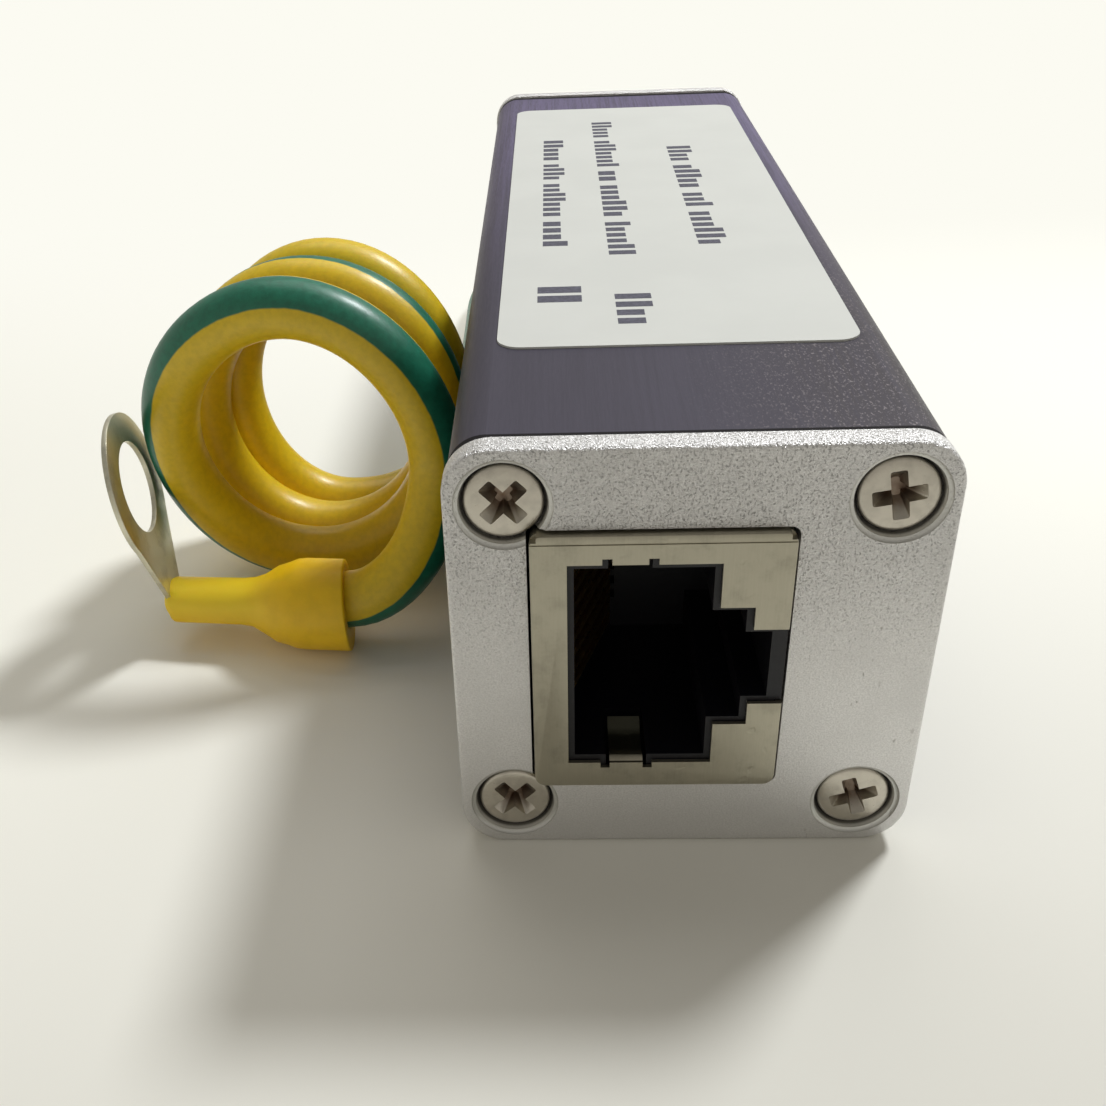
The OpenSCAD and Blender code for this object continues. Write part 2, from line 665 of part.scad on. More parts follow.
module ring_terminal() {
    color([0.62, 0.60, 0.57]) {
        translate(ring_at) rotate([0, -ring_lean, ring_turn]) rotate([90, 0, 90])
            translate([0, 0, -ring_t / 2]) linear_extrude(height = ring_t) difference() {
                union() {
                    circle(d = ring_d);
                    polygon([[-ring_d / 2 + 1.2, -2.2], [ring_d / 2 - 1.2, -2.2],
                        [neck_y + neck_w / 2, 1 - neck_len], [neck_y + neck_w / 2, -neck_len - 0.3],
                        [neck_y - neck_w / 2, -neck_len - 0.3], [neck_y - neck_w / 2, 1 - neck_len]]);
                }
                circle(d = ring_hole_d);
            }
        boot_place() translate([0.1, 0, 0]) rotate([0, 90, 0])
            cylinder(d = barrel_d, h = barrel_len);
    }
}

housing();
front_plate();
rear_plate();
screw_at_corner(0);  // screw_front_1
screw_at_corner(1);  // screw_front_2
screw_at_corner(2);  // screw_front_3
screw_at_corner(3);  // screw_front_4
at_rear() screw_at_corner(0);  // screw_rear_1
at_rear() screw_at_corner(1);  // screw_rear_2
at_rear() screw_at_corner(2);  // screw_rear_3
at_rear() screw_at_corner(3);  // screw_rear_4
label();
circuit_board();
jack_place() jack_shield();  // jack_shield_front
jack_place() jack_insert();  // jack_insert_front
jack_place() jack_contacts();  // jack_contacts_front
at_rear() jack_place() jack_shield();  // jack_shield_rear
at_rear() jack_place() jack_insert();  // jack_insert_rear
at_rear() jack_place() jack_contacts();  // jack_contacts_rear
gas_tube(0);  // gas_tube_1
gas_tube(1);  // gas_tube_2
gas_tube(2);  // gas_tube_3
gas_tube(3);  // gas_tube_4
diode_array(0);  // diode_array_1
diode_array(1);  // diode_array_2
diode_array(2);  // diode_array_3
diode_array(3);  // diode_array_4
earth_terminal();
wire_bush();
ground_wire_tail();
ground_wire();
ground_wire_coil();
ground_wire_end();
terminal_boot();
ring_terminal();
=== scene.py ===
"""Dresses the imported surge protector: coiled earth lead, boot, lug, screws, sockets, plates, case and studio."""

import math

import bmesh
import bpy
from bpy.props import FloatProperty, FloatVectorProperty, IntProperty, PointerProperty
from bpy.types import Operator, Panel, PropertyGroup
from mathutils import Matrix, Vector


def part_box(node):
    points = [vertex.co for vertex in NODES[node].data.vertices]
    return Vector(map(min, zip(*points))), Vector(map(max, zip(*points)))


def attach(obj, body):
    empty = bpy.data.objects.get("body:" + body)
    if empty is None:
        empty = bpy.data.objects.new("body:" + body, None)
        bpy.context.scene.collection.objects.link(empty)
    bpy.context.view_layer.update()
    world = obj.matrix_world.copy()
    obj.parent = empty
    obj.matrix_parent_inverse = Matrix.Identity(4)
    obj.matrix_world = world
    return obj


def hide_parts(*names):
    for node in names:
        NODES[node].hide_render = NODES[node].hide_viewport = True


bl_info = {
    "name": "Inline surge protector",
    "version": (1, 0, 0),
    "blender": (4, 5, 0),
    "location": "View3D > Sidebar > Protector",
    "description": "Dresses the packed protector with its lead, sockets, plates, finishes and studio",
    "category": "Object",
}

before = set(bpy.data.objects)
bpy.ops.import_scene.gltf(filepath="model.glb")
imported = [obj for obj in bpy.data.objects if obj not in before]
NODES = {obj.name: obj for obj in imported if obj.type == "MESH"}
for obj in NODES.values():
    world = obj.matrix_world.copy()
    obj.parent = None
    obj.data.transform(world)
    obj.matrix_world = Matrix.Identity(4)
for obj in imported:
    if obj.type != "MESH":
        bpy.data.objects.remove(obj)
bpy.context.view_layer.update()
BODY = "root"
MM = 0.001
FULL_TURN = 2 * math.pi


def srgb(red, green, blue):
    """Turns display values from 0 to 255 into a linear colour."""
    def linear(level):
        level /= 255
        return level / 12.92 if level <= 0.04045 else ((level + 0.055) / 1.055) ** 2.4
    return (linear(red), linear(green), linear(blue), 1.0)


def colour_property(name, description, *levels):
    return FloatVectorProperty(name=name, description=description, subtype="COLOR", size=4,
                               min=0.0, max=1.0, default=srgb(*levels))


def length_property(name, description, millimetres):
    return FloatProperty(name=name, description=description, subtype="DISTANCE", unit="LENGTH",
                         min=0.0, default=millimetres * MM)


class ProtectorSizes(PropertyGroup):
    """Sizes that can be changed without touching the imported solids."""
    lead_diameter: length_property("Lead diameter", "Outside diameter of the earth lead", 4.0)
    stripe_angle: FloatProperty(name="Stripe width", description="Angle that the green stripe takes round the lead",
                                subtype="ANGLE", default=math.radians(82))
    boot_diameter: length_property("Boot diameter", "Widest diameter of the boot on the lug", 6.5)
    boot_neck: length_property("Boot neck", "Diameter of the boot's narrow half", 3.5)
    head_edge: length_property("Head edge", "Width of the turned edge round a screw head", 0.24)
    cross_width: length_property("Cross width", "Length of a cross recess, tip to tip", 2.76)
    cross_arm: length_property("Cross arm", "Width of an arm of the cross at the head's face", 0.84)
    plate_edge: length_property("Plate edge", "Rounding of the outer edges of the end plates", 0.27)
    sheet: length_property("Shield sheet", "Thickness of the folded socket shield", 0.25)
    lug_sheet: length_property("Lug sheet", "Thickness of the stamped lug", 0.36)
    lug_edge: length_property("Lug edge", "Rounding of the lug's punched edges", 0.1)


class ProtectorColours(PropertyGroup):
    """Colours of the finishes."""
    case: colour_property("Case", "Dark anodised extrusion", 72, 69, 83)
    # Painted shade: the colour that the left flank of the extrusion takes in shade
    case_flank_shade: colour_property("Case side", "Shaded flank of the extrusion", 38, 39, 34)
    plate: colour_property("End plate", "Blasted aluminium", 236, 235, 234)
    screw: colour_property("Screw", "Plated steel", 204, 198, 186)
    label: colour_property("Label", "Satin film", 214, 216, 211)
    ink: colour_property("Ink", "Grey print on the label", 74, 74, 86)
    jacket: colour_property("Lead jacket", "Yellow of the earth lead", 228, 195, 24)
    stripe: colour_property("Lead stripe", "Green of the earth lead", 22, 104, 80)
    boot: colour_property("Boot", "Soft yellow sleeve", 244, 200, 14)
    shield: colour_property("Shield", "Nickel plated sheet", 176, 171, 154)
    plastic: colour_property("Insert", "Moulded black plastic", 8, 8, 16)
    gold: colour_property("Contacts", "Gold flash", 214, 178, 98)
    tin: colour_property("Tinned parts", "Tinned lug and terminal", 216, 213, 192)
    board: colour_property("Board", "Green solder mask", 22, 92, 52)
    ceramic: colour_property("Ceramic", "Gas tube body", 232, 229, 220)
    floor: colour_property("Floor", "Pale studio floor", 250, 249, 240)


class Flow:
    """One output of a shader node; arithmetic on it adds Math nodes."""

    def __init__(self, finish, socket):
        self.finish, self.socket = finish, socket

    def maths(self, operation, *values, clamp=False):
        return self.finish.add("Math", {"operation": operation, "use_clamp": clamp}, dict(enumerate(values)))

    def __add__(self, other):
        return self.maths("ADD", self, other)

    def __radd__(self, other):
        return self.maths("ADD", other, self)

    def __sub__(self, other):
        return self.maths("SUBTRACT", self, other)

    def __rsub__(self, other):
        return self.maths("SUBTRACT", other, self)

    def __mul__(self, other):
        return self.maths("MULTIPLY", self, other)

    def __rmul__(self, other):
        return self.maths("MULTIPLY", other, self)

    def __truediv__(self, other):
        return self.maths("DIVIDE", self, other)

    def __pow__(self, other):
        return self.maths("POWER", self, other)

    def __abs__(self):
        return self.maths("ABSOLUTE", self)

    def rise(self, low, high):
        """A soft step from 0 at low to 1 at high."""
        return self.finish.add("MapRange", {"interpolation_type": "SMOOTHSTEP"},
                               {"Value": self, "From Min": low, "From Max": high}, "Result")

    def within(self, low, high, soft):
        """1 between low and high, with soft flanks."""
        return self.rise(low - soft, low + soft) * (1 - self.rise(high - soft, high + soft))


class Finish:
    """A procedural material; every node comes from add()."""

    def __init__(self, name, roughness=0.5, metallic=0.0, **constants):
        self.material = bpy.data.materials.new(name)
        self.material.use_nodes = True
        self.tree = self.material.node_tree
        self.shader = self.tree.nodes["Principled BSDF"]
        self.feed(self.shader.inputs["Roughness"], roughness)
        self.feed(self.shader.inputs["Metallic"], metallic)
        for socket, value in constants.items():
            self.shader.inputs[socket.replace("_", " ")].default_value = value
        self.where = None

    def feed(self, socket, value):
        if isinstance(value, Flow):
            self.tree.links.new(value.socket, socket)
        else:
            socket.default_value = value

    def add(self, kind, settings=None, inputs=None, output=0):
        node = self.tree.nodes.new("ShaderNode" + kind)
        for key, value in (settings or {}).items():
            if key == "stops":
                for index, (position, colour) in enumerate(value):
                    stop = node.color_ramp.elements[index] if index < 2 else node.color_ramp.elements.new(position)
                    stop.position, stop.color = position, colour
            else:
                setattr(node, key, value)
        for key, value in (inputs or {}).items():
            self.feed(node.inputs[key], value)
        return Flow(self, node.outputs[output])

    def millimetres(self):
        """Object coordinates in millimetres."""
        if self.where is None:
            place = self.add("TexCoord", output="Object")
            self.where = self.add("VectorMath", {"operation": "SCALE"}, {0: place, "Scale": 1 / MM})
        return self.where

    def axes(self):
        """X, Y and Z in millimetres."""
        where = self.millimetres()
        return [self.add("SeparateXYZ", None, {0: where}, axis) for axis in "XYZ"]

    def stretched(self, *factors):
        """Object coordinates stretched by a factor on each axis."""
        return self.add("Mapping", None, {"Vector": self.millimetres(), "Scale": factors})

    def noise(self, size, vector=None, detail=2.0, rough=0.5):
        """Soft noise whose features are about size millimetres across."""
        return self.add("TexNoise", None, {"Vector": vector or self.millimetres(), "Scale": 1 / size,
                                           "Detail": detail, "Roughness": rough})

    def cells(self, size, vector=None):
        """Distance to the nearest of scattered points, about size millimetres apart."""
        return self.add("TexVoronoi", None, {"Vector": vector or self.millimetres(), "Scale": 1 / size}, "Distance")

    def blend(self, factor, first, second, kind="MIX"):
        return self.add("Mix", {"data_type": "RGBA", "blend_type": kind}, {0: factor, 6: first, 7: second}, 2)

    def normal_from(self, height, distance, strength=1.0):
        """Bump from a height field, distance in millimetres."""
        bump = self.add("Bump", None, {"Height": height, "Distance": distance * MM, "Strength": strength})
        self.feed(self.shader.inputs["Normal"], bump)

    def set(self, **values):
        for socket, value in values.items():
            self.feed(self.shader.inputs[socket.replace("_", " ")], value)
        return self.material


def shade(colour, factor):
    """The same colour, lighter or darker."""
    return tuple(min(1.0, level * factor) for level in colour[:3]) + (1.0,)


def anodised_finish(colours):
    """Dark anodised extrusion: drawn streaks along Y, painted glint highlights on the flat, painted brown shade on the
    left flank, a painted violet reflection towards the far end of the top, and a dark line at each end joint that is
    partly painted shade in the gap and partly dirt.
    """
    finish = Finish("anodised extrusion", metallic=0.55)
    across, along, up = finish.axes()
    streak = finish.noise(0.22, finish.stretched(1, 0.018, 1), 3, 0.6)
    fine = finish.noise(0.07, finish.stretched(1, 0.06, 1), 2, 0.6)
    cloud = finish.noise(9, detail=3)
    glint = finish.noise(0.13, finish.stretched(1, 0.5, 1), 2, 0.7)
    top = up.rise(21, 24.4)
    # Painted shade: the left flank below the rounded top edge turns to the shaded flank colour
    flank = (0 - across).rise(11.6, 12.2) * (1 - up.rise(20, 24.2))
    warm = finish.blend(across.rise(-1, 10) * top * 0.7, tuple(colours.case), srgb(62, 57, 56))
    # Painted reflection: the top turns a lighter violet towards the far end, as if it mirrored the sky
    violet_sky_reflection = finish.blend(along.rise(-30, 30) * (top * 0.8 + 0.2), warm, srgb(113, 105, 138))
    base = finish.blend(flank, violet_sky_reflection, tuple(colours.case_flank_shade))
    worn = finish.blend((streak * 0.7 + fine * 0.3).rise(0.36, 0.68) * 0.6, base, shade(colours.case, 0.78))
    # Painted highlights: small light glints on the top, to the right and towards the front
    painted_sparkle = glint.rise(0.54, 0.72) * across.rise(-2, 9) * (1 - along.rise(-34, 10)) * top * 0.5
    lit = finish.blend(painted_sparkle, worn, srgb(168, 160, 162))
    # A dark band at each end where the plates meet the extrusion: partly painted shade in the gap, partly dirt
    joint_shade_and_dirt = abs(along).rise(39.3, 39.42)
    lit = finish.blend(joint_shade_and_dirt, lit, srgb(14, 10, 14))
    finish.normal_from(streak * 0.7 + fine * 0.3, 0.008)
    return finish.set(Base_Color=lit, Roughness=0.36 + cloud * 0.14 + fine * 0.10 + joint_shade_and_dirt * 0.3)


def blasted_finish(colours):
    """Fine blasted aluminium, coarser towards the top, with small worn marks at the latch side, painted white glint
    specks, painted shade towards the bottom and a painted shadow in the gap round each screw head.
    """
    finish = Finish("blasted aluminium", metallic=0.75)
    across, along, up = finish.axes()
    grain = finish.noise(0.1, detail=2, rough=0.6)
    pebble = finish.noise(0.17, detail=2, rough=0.6)
    cloud = finish.noise(4, detail=4, rough=0.6)
    coarse = up.rise(8, 22) * 0.8 + 0.2
    pits = finish.noise(0.12, finish.stretched(1, 1, 0.8), 1).rise(0.55, 0.72) * coarse
    glint_specks = finish.noise(0.14, detail=1).rise(0.58, 0.72) * coarse
    marks = finish.noise(0.42, finish.stretched(1, 1, 0.45), 1).rise(0.68, 0.76)
    marks = marks * across.rise(5.5, 8) * finish.noise(2.6).rise(0.46, 0.6)
    screw, centre = middle("screw_front_1"), middle("front_plate")
    from_screw = ((abs(abs(across) - abs(screw.x)) ** 2 + abs(abs(up - centre.z) - abs(screw.z - centre.z)) ** 2)
                  ** 0.5)
    flare = from_screw.within(POCKET_RADIUS, POCKET_RADIUS + POCKET_FLARE, 0.03)
    even = 1 - flare * 0.8
    toned = finish.blend(grain.rise(0.34, 0.66) * even, shade(colours.plate, 0.84), tuple(colours.plate))
    toned = finish.blend(pebble.rise(0.46, 0.66) * coarse * even * 0.35, toned, shade(colours.plate, 0.6))
    toned = finish.blend(pits * even * 0.55, toned, shade(colours.plate, 0.38))
    # Painted highlights: white glint specks, more of them towards the top
    toned = finish.blend(glint_specks * even * 0.4, toned, srgb(255, 255, 255))
    toned = finish.blend(cloud.rise(0.4, 0.72) * 0.45, toned, shade(colours.plate, 0.8))
    # Painted shade: the face darkens towards the bottom, where it would mirror the shadowed floor in front
    toned = finish.blend((1 - up.rise(1, 7)) * 0.4, toned, shade(colours.plate, 0.6))
    toned = finish.blend(flare * 0.35, toned, srgb(186, 187, 176))
    # Painted shadow: a dark ring in the gap between each screw head and its pocket
    gap = from_screw.within(POCKET_RADIUS - 0.1, POCKET_RADIUS + 0.06, 0.03)
    toned = finish.blend(gap * 0.8, toned, srgb(52, 46, 38))
    toned = finish.blend(marks * 0.6, toned, srgb(104, 96, 84))
    finish.normal_from((grain * 0.5 - pebble * 0.5 - pits * 0.3) * coarse * even - marks * 0.3, 0.17)
    return finish.set(Base_Color=toned, Roughness=0.38 + grain * 0.16 - flare * 0.1)


def screw_finish(colours):
    """Plated steel; the cross recess turns dark brown towards its bottom."""
    finish = Finish("plated screw", metallic=0.95)
    depth = finish.add("Attribute", {"attribute_name": "depth"}, None, "Fac")
    grain = finish.noise(0.16, detail=3, rough=0.6)
    stain = finish.noise(0.6, detail=3)
    # The recess darkens with depth to a dark brown and turns a little less metallic
    recess_darkening = depth.rise(0.15, 0.85) * (0.5 + stain * 0.5)
    toned = finish.blend(stain.rise(0.4, 0.7) * 0.5, tuple(colours.screw), shade(colours.screw, 0.74))
    toned = finish.blend(recess_darkening, toned, srgb(98, 70, 48))
    finish.normal_from(grain * 0.6 + stain * 0.4, 0.02)
    return finish.set(Base_Color=toned, Roughness=0.24 + grain * 0.12, Metallic=0.95 - recess_darkening * 0.1)


def film_finish(colours):
    """Satin label film."""
    finish = Finish("label film", Coat_Roughness=0.3)
    mottle = finish.noise(6, detail=3)
    fibre = finish.noise(0.25, detail=2)
    toned = finish.blend(mottle.rise(0.3, 0.7) * 0.5, tuple(colours.label), shade(colours.label, 0.93))
    finish.normal_from(mottle * 0.8 + fibre * 0.02, 0.03)
    return finish.set(Base_Color=toned, Roughness=0.40 + fibre * 0.08)


def ink_finish(colours):
    """Grey print with a slightly uneven edge."""
    finish = Finish("label print", Specular_IOR_Level=0.3)
    grain = finish.noise(0.2, detail=3)
    return finish.set(Base_Color=finish.blend(grain.rise(0.3, 0.75), tuple(colours.ink), shade(colours.ink, 1.7)),
                      Roughness=0.5 + grain * 0.1)


def lead_finish(colours, stripe_angle):
    """Yellow jacket with one green stripe along it."""
    finish = Finish("striped lead jacket", Coat_Roughness=0.25, Subsurface_Weight=0.08, Subsurface_Scale=0.0006)
    side = finish.add("Attribute", {"attribute_name": "stripe"}, None, "Fac")
    along = finish.add("Attribute", {"attribute_name": "along"}, None, "Fac")
    edge = math.cos(stripe_angle / 2)
    ripple = finish.noise(1.6, detail=2)
    green = (side + (ripple - 0.5) * 0.05).rise(edge - 0.025, edge + 0.025)
    drawn = finish.noise(0.5, detail=3, rough=0.6)
    wave = finish.add("TexNoise", {"noise_dimensions": "1D"}, {"W": along, "Scale": 0.25, "Detail": 2.0})
    yellow = finish.blend(drawn.rise(0.3, 0.75) * 0.6, tuple(colours.jacket), shade(colours.jacket, 0.8))
    green_tone = finish.blend(drawn.rise(0.3, 0.7), tuple(colours.stripe), shade(colours.stripe, 1.3))
    finish.normal_from(drawn * 0.5 + wave * 0.5, 0.03)
    return finish.set(Base_Color=finish.blend(green, yellow, green_tone), Roughness=0.34 + drawn * 0.14,
                      Coat_Weight=0.12 + drawn * 0.1)


def boot_finish(colours):
    """Soft moulded vinyl with a little subsurface light, and a painted highlight along the top of its thin end."""
    finish = Finish("moulded boot", Subsurface_Weight=0.12, Subsurface_Scale=0.0008)
    dust = finish.noise(1.3, detail=4, rough=0.6)
    fine = finish.noise(0.2, detail=2)
    across, along, up = finish.axes()
    toned = finish.blend(dust.rise(0.35, 0.75) * 0.55, tuple(colours.boot), shade(colours.boot, 0.84))
    # Painted highlight: the top of the thin end turns a lighter yellow, as if lit by the key light
    toned = finish.blend((1 - across.rise(-30, -26)) * up.rise(2, 4.2), toned, srgb(255, 222, 44))
    finish.normal_from(dust * 0.6 + fine * 0.2, 0.03)
    return finish.set(Base_Color=toned, Roughness=0.38 + dust * 0.14)


def nickel_finish(name, colour, rolled, stain, metallic=0.95, shade_within=0):
    """Rolled, plated sheet with faint stains and small dents; painted shade can darken it deep inside a socket."""
    finish = Finish(name)
    brush = finish.noise(0.1, finish.stretched(*rolled), 3, 0.6)
    blotch = finish.noise(1.7, detail=4, rough=0.65)
    dent = finish.noise(0.8, detail=1).rise(0.66, 0.76)
    toned = finish.blend(blotch.rise(0.45, 0.72) * stain, tuple(colour), shade(colour, 0.6))
    toned = finish.blend(brush.rise(0.3, 0.75) * 0.3, toned, shade(colour, 1.18))
    # Painted shade: deep inside the socket the sheet turns a dark green-grey
    if shade_within:
        across, along, up = finish.axes()
        deep = 1 - abs(along).rise(shade_within - 0.5, shade_within)
        toned = finish.blend(deep * 0.75, toned, srgb(56, 62, 50))
    finish.normal_from(brush * 0.25 + blotch * 0.5 - dent * 0.6, 0.02)
    return finish.set(Base_Color=toned, Roughness=0.24 + blotch * 0.16 + brush * 0.08, Metallic=metallic)


def plastic_finish(name, colour, roughness=0.38, grain_size=0.25):
    """Moulded plastic with a fine texture and wear."""
    finish = Finish(name)
    grain = finish.noise(grain_size, detail=3)
    cloud = finish.noise(2.5, detail=3)
    toned = finish.blend(cloud.rise(0.35, 0.75) * 0.6, tuple(colour), shade(colour, 1.5))
    finish.normal_from(grain, 0.012)
    return finish.set(Base_Color=toned, Roughness=roughness + grain * 0.14)


def gold_finish(colours):
    """Gold flash over phosphor bronze."""
    finish = Finish("gold contacts", metallic=1.0)
    wear = finish.noise(0.4, detail=3)
    toned = finish.blend(wear.rise(0.4, 0.75) * 0.5, tuple(colours.gold), srgb(176, 122, 66))
    return finish.set(Base_Color=toned, Roughness=0.22 + wear * 0.16)


def board_finish(colours):
    """Solder mask over traces, with a bare rim at the edges."""
    finish = Finish("solder mask", Coat_Roughness=0.2)
    across, along, up = finish.axes()
    lane = (up * 0.55 + finish.noise(6, detail=0) * 1.5).maths("FRACT", up * 0.55 + finish.noise(6, detail=0) * 1.5)
    trace = lane.within(0.3, 0.62, 0.04) * (1 - abs(along).rise(28, 29))
    weave = finish.noise(0.5, detail=3)
    rim = (1 - across.within(4.86, 5.94, 0.02))
    toned = finish.blend(trace * 0.8, tuple(colours.board), shade(colours.board, 1.7))
    toned = finish.blend(weave.rise(0.4, 0.7) * 0.3, toned, shade(colours.board, 0.7))
    finish.normal_from(trace * 0.5 + weave * 0.1, 0.03)
    return finish.set(Base_Color=toned, Roughness=0.32 + rim * 0.01 + weave * 0.1, Coat_Weight=0.2 * (1 - rim))


def gas_tube_finish(colours):
    """Ceramic drum between two plated end caps."""
    finish = Finish("gas tube")
    across, along, up = finish.axes()
    across_tube = across.within(0.55, 4.15, 0.03)
    grain = finish.noise(0.5, detail=3)
    toned = finish.blend(across_tube, srgb(170, 166, 156), finish.blend(grain, tuple(colours.ceramic), shade(colours.ceramic, 0.9)))
    return finish.set(Base_Color=toned, Roughness=0.3 + grain * 0.15, Metallic=1 - across_tube)


def floor_finish(colours):
    """Pale matt studio floor."""
    finish = Finish("studio floor", roughness=0.9, Specular_IOR_Level=0.1)
    across, along, up = finish.axes()
    haze = finish.noise(60, detail=2)
    # Painted shade: the floor darkens towards the front and the right, standing in for the lamps' falloff
    front_falloff_shade = 1 - (along - across * 0.35).rise(-115, -5)
    toned = finish.blend(haze.rise(0.3, 0.7) * 0.2, tuple(colours.floor), shade(colours.floor, 0.985))
    camera = finish.add("LightPath", None, None, "Is Camera Ray")
    distance = finish.add("VectorMath", {"operation": "LENGTH"}, {0: finish.millimetres()}, "Value")
    beyond = along.rise(5, 85).maths("MAXIMUM", along.rise(5, 85), distance.rise(130, 420))
    far = finish.add("Emission", None, {"Color": srgb(252, 251, 242)})
    mixed = finish.add("MixShader", None, {0: camera * beyond, 1: Flow(finish, finish.shader.outputs[0]), 2: far})
    finish.feed(finish.tree.nodes["Material Output"].inputs["Surface"], mixed)
    return finish.set(Base_Color=finish.blend(front_falloff_shade, toned, srgb(209, 207, 199)))


def finish_piece(name, mesh_bm, material, replaces=(), sharp=35, smooth=True, recalc=True):
    """Turns a bmesh in millimetres into a riding piece at the origin."""
    bmesh.ops.remove_doubles(mesh_bm, verts=mesh_bm.verts, dist=1e-4)
    if recalc:
        bmesh.ops.recalc_face_normals(mesh_bm, faces=mesh_bm.faces)
    bmesh.ops.scale(mesh_bm, vec=(MM,) * 3, verts=mesh_bm.verts)
    mesh = bpy.data.meshes.new(name)
    mesh_bm.to_mesh(mesh)
    mesh_bm.free()
    piece = bpy.data.objects.new(name, mesh)
    bpy.context.collection.objects.link(piece)
    mesh.materials.append(material)
    mesh.polygons.foreach_set("use_smooth", [smooth] * len(mesh.polygons))
    mesh.set_sharp_from_angle(angle=math.radians(sharp))
    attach(piece, BODY)
    if replaces:
        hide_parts(*replaces)
    return piece


def dress(material, *names):
    """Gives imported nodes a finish."""
    for name in names:
        for slot in NODES[name].material_slots:
            slot.material = material


def lathe(profile, steps=40):
    """A closed turned solid about Z from (radius, height) points."""
    bm = bmesh.new()
    verts = [bm.verts.new((radius, 0, height)) for radius, height in profile]
    edges = [bm.edges.new(pair) for pair in zip(verts, verts[1:])]
    bmesh.ops.spin(bm, geom=verts + edges, cent=(0, 0, 0), axis=(0, 0, 1), angle=FULL_TURN,
                   steps=steps, use_merge=True)
    bmesh.ops.remove_doubles(bm, verts=bm.verts, dist=1e-4)
    bmesh.ops.recalc_face_normals(bm, faces=bm.faces)
    return bm


def combine(body_bm, tool_bm, operation="DIFFERENCE"):
    """Cuts a bmesh out of another, or joins the two, and returns the result as a new bmesh."""
    objects = []
    for part, bm in (("body", body_bm), ("tool", tool_bm)):
        mesh = bpy.data.meshes.new(part)
        bm.to_mesh(mesh)
        bm.free()
        objects.append(bpy.data.objects.new(part, mesh))
        bpy.context.collection.objects.link(objects[-1])
    modifier = objects[0].modifiers.new("combine", "BOOLEAN")
    modifier.operation, modifier.solver, modifier.object = operation, "EXACT", objects[1]
    evaluated = objects[0].evaluated_get(bpy.context.evaluated_depsgraph_get())
    result = bmesh.new()
    result.from_mesh(evaluated.to_mesh())
    for item in objects:
        mesh = item.data
        bpy.data.objects.remove(item)
        bpy.data.meshes.remove(mesh)
    return result


def cut_blocks(bm, *boxes):
    """Cuts boxes, given by two corners each, out of a bmesh."""
    for low, high in boxes:
        tool = bmesh.new()
        block(tool, low, high)
        bm = combine(bm, tool)
    return bm


def block(bm, low, high):
    """Adds a box between two corners."""
    size = [b - a for a, b in zip(low, high)]
    centre = [(a + b) / 2 for a, b in zip(low, high)]
    made = bmesh.ops.create_cube(bm, size=1.0, matrix=Matrix.Translation(centre) @ Matrix.Diagonal((*size, 1.0)))
    return made["verts"]


def round_edges(bm, edges, width, segments=3):
    bmesh.ops.bevel(bm, geom=list(edges), offset=width, offset_type="OFFSET", segments=segments, profile=0.5,
                    affect="EDGES", material=-1, clamp_overlap=True)


def round_sharp(bm, width, segments=2, angle=40):
    """Rounds every edge sharper than the angle."""
    round_edges(bm, [edge for edge in bm.edges if edge.is_manifold
                     and edge.calc_face_angle(0) > math.radians(angle)], width, segments)


def outline_at(bm, level):
    """The edges of a solid that lie at one level of Y."""
    return [edge for edge in bm.edges if all(abs(vert.co.y - level) < 1e-4 for vert in edge.verts)]


def rounded_block(low, high, corner, steps=8):
    """A box whose four edges along Y are rounded."""
    bm = bmesh.new()
    block(bm, low, high)
    along = [edge for edge in bm.edges if abs(edge.verts[0].co.y - edge.verts[1].co.y) > 1e-4]
    round_edges(bm, along, corner, steps)
    return bm


def millimetre_box(name):
    """Lowest and highest corner of a node in millimetres."""
    return [Vector(corner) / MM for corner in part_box(name)]


def middle(name):
    low, high = millimetre_box(name)
    return (low + high) / 2


def turned_to_rear(bm):
    """Turns what is made for the front end to the rear end."""
    low, high = millimetre_box("front_plate")
    bmesh.ops.transform(bm, matrix=Matrix.Translation((0, 0, low.z + high.z)) @ Matrix.Rotation(math.pi, 4, "X"),
                        verts=bm.verts)
    return bm


# The earth lead

LEAD_EXIT = (8.3, 42.5, 12.5)
REAR_ROUTE = (LEAD_EXIT, (8.3, 47, 12.5), (8, 51, 11.4), (6.6, 55, 8.8), (3.6, 58.2, 5.6), (-0.6, 59.8, 3.2),
              (-5.2, 58.6, 2.2), (-9.6, 55.6, 2.1), (-13, 51, 2.1), (-14.6, 45, 2.1), (-14.6, 38, 2.1),
              (-14.6, 30, 2.1), (-14.6, 22, 2.1), (-14.6, 14, 2.1), (-15, 7, 2.1), (-16.8, 1.4, 2.1),
              (-20.2, -2.6, 2.1))
FRONT_ROUTE = ((-15.4, -18.1, 9.6), (-16.3, -19.5, 7.3), (-17.9, -20.6, 5.4), (-19.7, -21.1, 4.25),
               (-21.5, -21.1, 3.8), (-25.675, -20.6, 3.5))
COIL_TURNS = 2.75
COIL_POINTS_PER_TURN = 24
COIL_MIDDLE = Vector((-25, 0, 12.15))
COIL_DEPTHS = ((0, -16.9), (0.25, -13.9), (0.5, -12.5), (0.75, -11.5))
COIL_PITCH = 4.1
COIL_LEAN = ((0, 0), (0.12, 1.7), (0.25, 3.0), (0.38, 2.6), (0.5, 1.5), (0.7, 0.1), (0.8, 0))
STRIPE_SIDE = ((0, 30), (0.25, 31), (0.5, 20), (1.1, -18), (1.3, -43), (1.5, -63), (2.25, -95), (2.75, -108))


def between(table, at):
    """Straight-line reading of a table of (position, value)."""
    if at <= table[0][0]:
        return table[0][1]
    for (low, first), (high, second) in zip(table, table[1:]):
        if at <= high:
            return first + (second - first) * (at - low) / (high - low)
    return table[-1][1]


